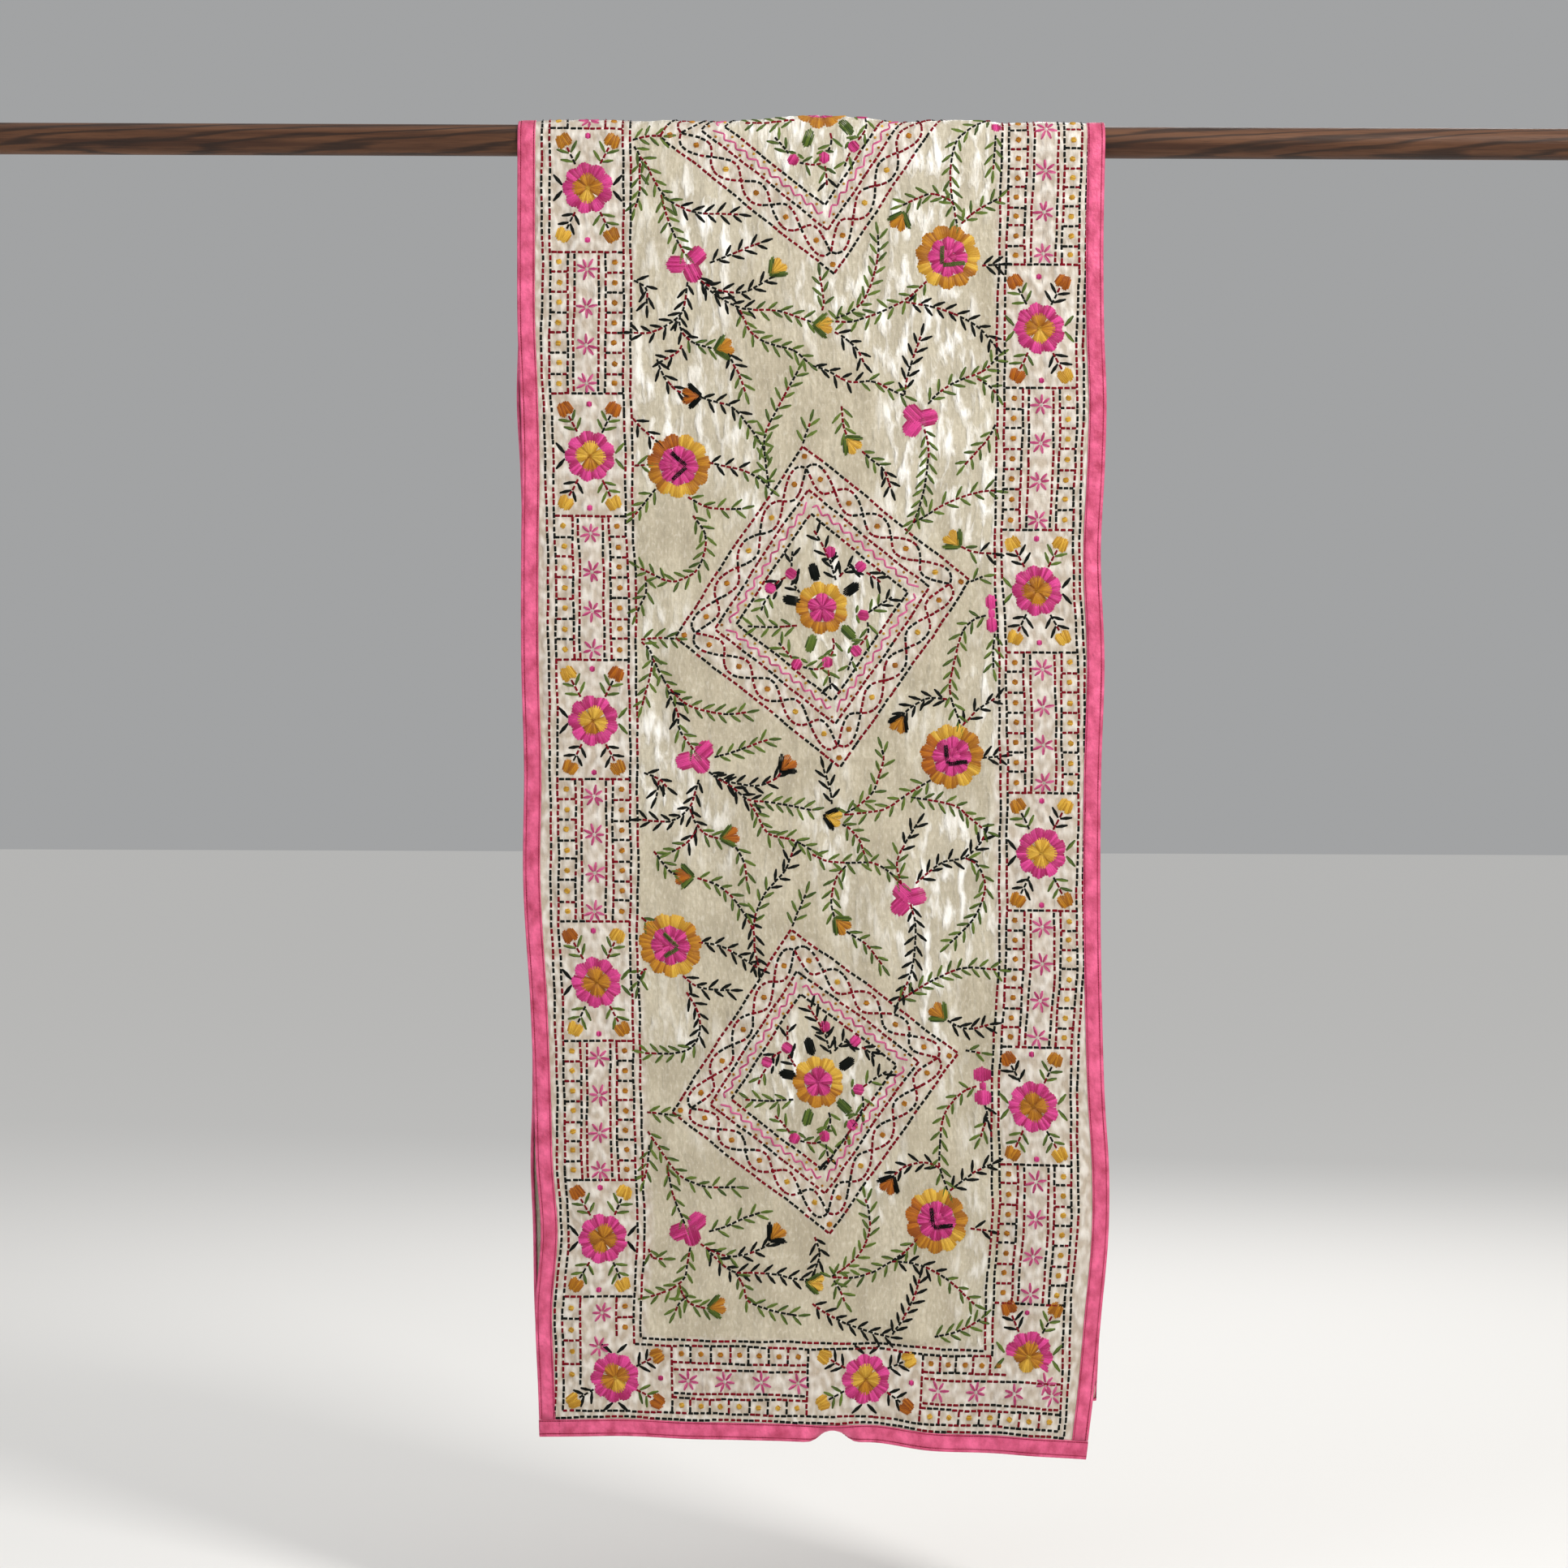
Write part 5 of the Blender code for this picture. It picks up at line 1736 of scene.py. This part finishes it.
        self.ring(ring_thread, centre, FIELD_RING, FIELD_RING_START)
        self.ring(PINK, centre, FIELD_HEART, FIELD_HEART_START, height=HEART_HEIGHT)
        self.ring(PINK, centre, FIELD_MIDDLE, FIELD_MIDDLE_START, height=FIELD_MIDDLE_HEIGHT)
        points = [flat_place(x, y) for x, y in flower.mark_points]
        for start, end in zip(points, points[1:]):
            for side in (-1.0, 0.0, 1.0):
                shift = heading_vector(heading_of(end - start) + 90) * side * MARK_STRAND_GAP
                self.add(flower.mark, start + shift, end + shift, MARK_WIDTH, MARK_HEIGHT)

    def blossom(self, points):
        centre, *lobes = [flat_place(x, y) for x, y in points]
        for lobe in lobes:
            heading = heading_of(lobe - centre)
            self.oval(PINK, centre + (lobe - centre) * BLOSSOM_LOBE_SHARE, heading, BLOSSOM_LOBE)

    def bow(self, bow):
        """Two lobes, one above the other, drawn in at a knot between them."""
        knot = flat_place(bow.x, bow.y)
        lobe = Oval(BOW_LOBE_LENGTH, bow.width * PIXEL, BOW_LOBE_THREADS)
        for side in (-1, 1):
            self.oval(PINK, pixels_from(knot, 0, BOW_LOBE_OUT * side), 90, lobe)
        self.oval(PINK, knot, 90, BOW_KNOT)

    def tulip(self, tulip):
        """A half-open flower: a plump fan of threads between two thick sepals."""
        base = flat_place(tulip.x, tulip.y) - heading_vector(tulip.heading) * TULIP_BASE * PIXEL
        self.ring(tulip.thread, base, TULIP_FAN, tulip.heading - TULIP_OPENING / 2, TULIP_OPENING)
        for side in SIDES:
            heading = tulip.heading + side * (SEPAL_SPREAD + self.jitter(3))
            middle = base + heading_vector(heading) * SEPAL_OUT * PIXEL
            self.oval(tulip.sepal, middle, heading, SEPAL, HEART_HEIGHT)

    def diamond(self, corners, flower):
        """Three diamonds one inside another, with interlaced waves and a zigzag between them."""
        centre = sum(corners) / 4

        def place(side, share, scale):
            start, end = side
            return centre + scale * (start + share * (end - start) - centre)

        for side in zip(corners, np.roll(corners, -1, axis=0)):
            for scale, wine in DIAMOND_LINES:
                self.run([place(side, 0, scale), place(side, 1, scale)], wine)
            shares = np.linspace(0.0, 1.0, WAVES_A_SIDE * WAVE_STEPS + 1)
            for sign in SIDES:
                swing = sign * WAVE_SWING * np.sin(WAVES_A_SIDE * math.pi * shares)
                wave = [place(side, u, WAVE_MIDDLE + s) for u, s in zip(shares, swing)]
                self.run(wave, 0.5, drift=STEADY_DRIFT)
            for i in range(WAVES_A_SIDE):
                thread = self.either(OCHRE_DOT_CHANCE, OCHRE, YELLOW)
                self.dot(thread, place(side, (i + 0.5) / WAVES_A_SIDE, WAVE_MIDDLE))
            self.dot(OCHRE, place(side, 0.0, CORNER_DOT))
            self.zigzag(side, place)
        self.garden(flower)

    def zigzag(self, side, place):
        def zig(i, out):
            return place(side, (i + 0.5) / ZIGZAGS_A_SIDE, ZIGZAG_MIDDLE + (out if i % 2 else -out))

        for i in range(ZIGZAGS_A_SIDE - 1):
            start, end = (zig(at, ZIGZAG_SWING) for at in (i, i + 1))
            self.add(PALE, start, end, ZIGZAG_WIDTH, RUN_HEIGHT)
            self.dot(YELLOW if i % 2 else OCHRE, zig(i, -ZIGZAG_DOTS_OUT), ZIGZAG_DOT_SIZE)

    def garden(self, centre):
        """What a diamond holds: a flower, five plump leaves, and buds among sprigs."""
        start, end = GARDEN_OCHRE
        self.ring(lambda angle: OCHRE if start < angle < end else YELLOW, centre, GARDEN_RING)
        self.petals((PINK,), centre, GARDEN_PETALS, GARDEN_FIRST_PETAL)
        for leaf in GARDEN_LEAVES:
            self.oval(leaf.thread, pixels_from(centre, leaf.x, leaf.y), leaf.heading, GARDEN_LEAF)
        for bud in GARDEN_BUDS:
            middle = pixels_from(centre, bud.x, bud.y)
            self.oval(PINK, middle, bud.heading, GARDEN_BUD)
            base = middle - heading_vector(bud.heading) * GARDEN_BUD_BASE * PIXEL
            heading = bud.heading - GARDEN_LEAF_TURN
            self.leaf_pair(bud.thread, base, heading, GARDEN_LEAF_SPREAD, GARDEN_LEAF_LENGTH)
        for vine in GARDEN_VINES:
            self.vine(vine, centre)

    def rails(self, place, border, start, end, cells=LADDER_CELLS, outer=True, inner=True, stars=True):
        """A stretch of border: a ladder each side of a channel of stars, between two cross lines."""
        ladders = []
        if outer:
            ladders.append((border.rail_1, border.rail_2, border.rail_2, YELLOW))
        if inner:
            ladders.append((border.rail_3, border.rail_4, border.rail_3, OCHRE))
        cuts = np.linspace(start, end, cells + 1)
        for near, far, rail, thread in ladders:
            self.run(stretch(place, rail, start, end), RAIL_WINE)
            for cut in cuts[1:-1]:
                at = cut + self.jitter(CELL_SHIFT)
                self.run([place(near, at), place(far, at)], CELL_WINE, drift=STEADY_DRIFT)
            for first, last in zip(cuts, cuts[1:]):
                self.dot(thread, np.array(place((near + far) / 2, (first + last) / 2)))
        if stars:
            for channel in (border.channel_1, border.channel_2):
                inset = CHANNEL_INSET * np.sign(end - start)
                self.run(stretch(place, channel, start + inset, end - inset), CHANNEL_WINE)
            for i in range(4):
                run = start + (FIRST_STAR + STAR_STEP * i) * (end - start)
                self.star(np.array(place(border.stars, run)))

    def cross_line(self, place, border, at):
        self.run([place(border.rail_1, at), place(border.rail_4, at)], CELL_WINE, drift=2 * STEADY_DRIFT)


@cache
def border_lines():
    """The long borders' lines on the flat stole: lengths along, then where each lies across."""
    rows = []
    for lines in BORDER_LINES:
        places = [flat_place(x, lines.pixel_y) for x in lines[1:]]
        rows.append([places[0][1]] + [across for across, _ in places])
    return np.array(rows).T


def between_lines(border, depth, along, edge, field):
    """How far across a border's line lies, at its depth from the edge in a straight border."""
    share = (depth - border.edge) / (border.field - border.edge)
    lengths = border_lines()[0]
    near, far = (np.interp(along, lengths, border_lines()[line]) for line in (edge, field))
    return near + share * (far - near)


def from_left(depth, along):
    return between_lines(LEFT_BORDER, depth, along, 1, 2), along


def from_right(depth, along):
    return between_lines(RIGHT_BORDER, depth, along, 4, 3), along


def from_hem(depth, across):
    return across, FRONT_LENGTH - depth


LEFT = (from_left, LEFT_BORDER)
RIGHT = (from_right, RIGHT_BORDER)
HEM = (from_hem, HEM_BORDER)


def stretch(place, depth, start, end, steps=8):
    """Places along one of a border's lines."""
    return [place(depth, at) for at in np.linspace(start, end, steps + 1)]


def along_left(*rows):
    return [flat_place(LEFT_BORDER_X, row)[1] for row in rows]


def along_right(*rows):
    return [flat_place(RIGHT_BORDER_X, row)[1] for row in rows]


def across_hem(*columns):
    return [flat_place(column, HEM_BORDER_Y)[0] for column in columns]


def border_frames(sewing):
    """The four long lines that run down one side, along the hem and up the other side."""
    for line in ("edge", "rail_1", "rail_4", "field"):
        hem = FRONT_LENGTH - getattr(HEM_BORDER, line)
        left = stretch(from_left, getattr(LEFT_BORDER, line), 0.0, hem, FRAME_STEPS)
        right = stretch(from_right, getattr(RIGHT_BORDER, line), hem, 0.0, FRAME_STEPS)
        sewing.run(left, FRAME_WINE)
        sewing.run([left[-1], right[0]], -FRAME_WINE)
        sewing.run(right, FRAME_WINE)


def side_ladders(sewing):
    for border, ladders, along in ((LEFT, LEFT_LADDERS, along_left), (RIGHT, RIGHT_LADDERS, along_right)):
        for ladder in ladders:
            start, end = along(*ladder)
            sewing.cross_line(*border, start)
            sewing.cross_line(*border, end)
            sewing.rails(*border, start, end)


def border_ends(sewing):
    """The odd stretches of the borders: at the ridge, at the corners and along the hem."""
    (left_end,), (right_end,) = along_left(LEFT_RIDGE_END), along_right(RIGHT_RIDGE_END)
    sewing.rails(*LEFT, 0.0, left_end, cells=1, stars=False)
    sewing.cross_line(*LEFT, left_end)
    sewing.rails(*RIGHT, 0.0, right_end, cells=8)
    sewing.cross_line(*RIGHT, right_end)
    start, end, rail_end = along_left(*LAST_LEFT_LADDER, LAST_LEFT_RAIL_END)
    sewing.cross_line(*LEFT, start)
    sewing.rails(*LEFT, start, rail_end, cells=4, inner=False, stars=False)
    sewing.rails(*LEFT, start, end, cells=2, outer=False, stars=False)
    for x, y in LOOSE_STARS:
        sewing.star(flat_place(x, y))
    for x, y, size in PINK_DOTS:
        sewing.oval(PINK, flat_place(x, y), 90, Oval(size, 0.9 * size, 5))
    first, last = across_hem(*HEM_LADDERS[0])
    sewing.cross_line(*HEM, first)
    sewing.cross_line(*HEM, last)
    sewing.rails(*HEM, first, last)
    first, last, short = across_hem(*HEM_LADDERS[1], SHORT_HEM_RAIL_END)
    sewing.cross_line(*HEM, first)
    sewing.rails(*HEM, first, last, inner=False)
    sewing.rails(*HEM, first, short, cells=5, outer=False, stars=False)


def draw_half(sewing):
    """All that one end of the stole carries, from the ridge to its hem."""
    border_frames(sewing)
    side_ladders(sewing)
    border_ends(sewing)
    for flower in BORDER_FLOWERS:
        centre = sewing.border_flower(flower)
        for down in (-1, 1):
            sewing.pink_dot(pixels_from(centre, 0, PINK_DOT_OUT * down))
    for flower in HEM_FLOWERS:
        centre = sewing.border_flower(flower, HEM_FLOWER_REACH)
        sewing.pink_dot(pixels_from(centre, *HEM_DOT))
    sewing.border_flower(CORNER_FLOWER, first=CORNER_FLOWER_START, turn=CORNER_FLOWER_TURN)
    for draw, places in (
        (sewing.field_flower, FIELD_FLOWERS),
        (sewing.blossom, BLOSSOMS),
        (sewing.bow, BOWS),
        (sewing.tulip, TULIPS),
        (sewing.vine, VINES),
    ):
        for place in places:
            draw(place)
    for diamond in DIAMONDS:
        corners = np.array([flat_place(*corner) for corner in diamond[:4]])
        sewing.diamond(corners, flat_place(*diamond.flower))


# A stitch's own shape: each section as its share of the length and its fullness, and across it
RUN_SECTIONS = ((0.09, 0.94), (0.91, 0.94))
SATIN_SECTIONS = ((0.06, 0.84), (0.50, 1.00), (0.94, 0.84))
STITCH_ROUND = ((-1.0, 0.0), (0.0, 1.0), (1.0, 0.0))
STITCH_SINK = 0.00015
MAP_SHIFT = 0.0137


def stitch_arrays(rows, sections, surface):
    """Points, quads, triangles, thread map and tones of stitches that lie on a surface."""
    rows = np.array(rows)
    start, end = rows[:, 0:2], rows[:, 2:4]
    bow, width, height, tone = rows[:, 4:8].T
    run = end - start
    length = np.linalg.norm(run, axis=1)
    over = np.stack([run[:, 1], -run[:, 0]], axis=-1) / length[:, None]
    sunk = np.zeros(len(rows)) - STITCH_SINK
    places, lifts, maps = [start], [sunk], [(0.0, 0.0)]
    for share, fullness in sections:
        for side, top in STITCH_ROUND:
            away = side * width / 2 * fullness + bow * 4 * share * (1 - share)
            places.append(start + run * share + over * away[:, None])
            lifts.append(height * top * fullness - STITCH_SINK * (1 - top))
            maps.append((share, side / 2))
    places = np.stack([*places, end], axis=1)
    lifts = np.stack([*lifts, sunk], axis=1)
    share, side = np.array([*maps, (1.0, 0.0)]).T
    points = surface(places[..., 0], places[..., 1], lifts)
    shift = np.arange(len(rows)) * MAP_SHIFT
    thread = np.stack([share * length[:, None] + shift[:, None], side * width[:, None]], axis=-1)
    count, columns = len(sections), len(STITCH_ROUND)
    last = 1 + count * columns
    start_caps = [(0, 1 + j, 2 + j) for j in range(columns - 1)]
    end_caps = [(last - columns + j, last, last - columns + j + 1) for j in range(columns - 1)]
    offsets = (np.arange(len(rows)) * (last + 1))[:, None, None]
    quads = (grid_quads(numbered(count, columns, 1))[None] + offsets).reshape(-1, 4)
    triangles = (np.array(start_caps + end_caps)[None] + offsets).reshape(-1, 3)
    return points.reshape(-1, 3), quads, triangles, thread.reshape(-1, 2), np.repeat(tone, last + 1)


def stitch_piece(name, material, groups, surface):
    """One mesh of stitches, from groups of (rows, sections)."""
    parts = []
    first = 0
    for rows, sections in groups:
        if rows:
            points, quads, triangles, maps, tones = stitch_arrays(rows, sections, surface)
            parts.append((points, quads + first, triangles + first, maps, tones))
            first += len(points)
    points, quads, triangles, maps, tones = (np.concatenate(column) for column in zip(*parts))
    return new_mesh(name, points, quads, material, maps, triangles, tone=tones)


def make_embroidery(relief):
    """The sewing of both ends, one piece a thread on each."""
    materials = {thread.slot: thread_material(thread) for thread in THREADS}
    materials[PUCKER] = pucker_highlight_material()

    def front_surface(across, along, lift):
        return cloth_points(across, along, FACE_HEIGHT + relief.at(across, along) + lift)

    def back_surface(across, along, lift):
        return front_surface(*behind(across, along), lift)

    pieces = []
    ends = (("front", FRONT_SEWING_SEED, front_surface), ("back", BACK_SEWING_SEED, back_surface))
    for end, seed, surface in ends:
        sewing = Embroidery(seed)
        draw_half(sewing)
        if end == "front":
            sewing.diamond(ridge_diamond(), np.array(RIDGE_FLOWER))
        for slot, material in materials.items():
            groups = [(sewing.runs[slot], RUN_SECTIONS), (sewing.satin[slot], SATIN_SECTIONS)]
            name = "puckers" if slot == PUCKER else slot
            piece = stitch_piece(f"{end}_{name}", material, groups, surface)
            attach(piece, "root")
            pieces.append(piece)
    return pieces


# The machine stitching along both edges of each binding, and across its corners
SEAM_PITCH = 0.0026
SEAM_STITCH_SHARE = 0.80
SEAM_WIDTH = 0.0010
SEAM_STITCH_HEIGHT = 0.0004
CORNER_SEAM = 0.021
SEAM_GLOSS = 0.25


def binding_seam_rows():
    """Stitches along each binding, by where their row lies on the flat stole."""
    lengths = side_binding_lengths()
    hems = (FRONT_HEM, BACK_HEM)
    half = STOLE_WIDTH / 2
    lines = []
    for reach in SEAM_REACHES:
        for across in (reach - PANEL_HALF, PANEL_HALF - reach):
            lines.append(((across, lengths[0]), (across, lengths[-1])))
        for hem in hems:
            along = hem - math.copysign(reach, hem)
            lines.append(((-half, along), (half, along)))
    for across in (CORNER_SEAM - half, half - CORNER_SEAM):
        for hem in hems:
            lines.append(((across, hem), (across, hem - math.copysign(BINDING_REACH, hem))))
    rows = []
    rng = np.random.default_rng(SEAM_SEED)
    for line in lines:
        path = Path(line)
        count = round(path.length / SEAM_PITCH)
        middle = (np.arange(count) + 0.5) * path.length / count
        share = SEAM_PITCH * SEAM_STITCH_SHARE / 2
        tones = rng.uniform(-1.0, 1.0, count)
        for start, end, tone in zip(path.at(middle - share), path.at(middle + share), tones):
            rows.append((*start, *end, 0.0, SEAM_WIDTH, SEAM_STITCH_HEIGHT, tone))
    return rows


def make_binding_seams():
    material = thread_material(Thread("binding", BINDING_SEAM, SEAM_SHADE, SEAM_GLOSS))
    material.name = "binding_seam_thread"

    def surface(across, along, lift):
        return cloth_points(across, along, SEAM_HEIGHT + lift)

    seams = stitch_piece("binding_seams", material, [(binding_seam_rows(), RUN_SECTIONS)], surface)
    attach(seams, "root")
    return seams


def main():
    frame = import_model()
    relief = cloth_relief()
    dress_rod(frame)
    cloth = make_cloth(relief, silk_material())
    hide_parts("panel_front", "panel_over_rod", "panel_back")
    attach(cloth, "root")
    sewn_on = make_bindings(binding_material())
    sewn_on.append(make_binding_seams())
    sewn_on += make_embroidery(relief)
    make_floor()
    make_world()
    make_lights()
    make_overhead()
    make_camera()


main()
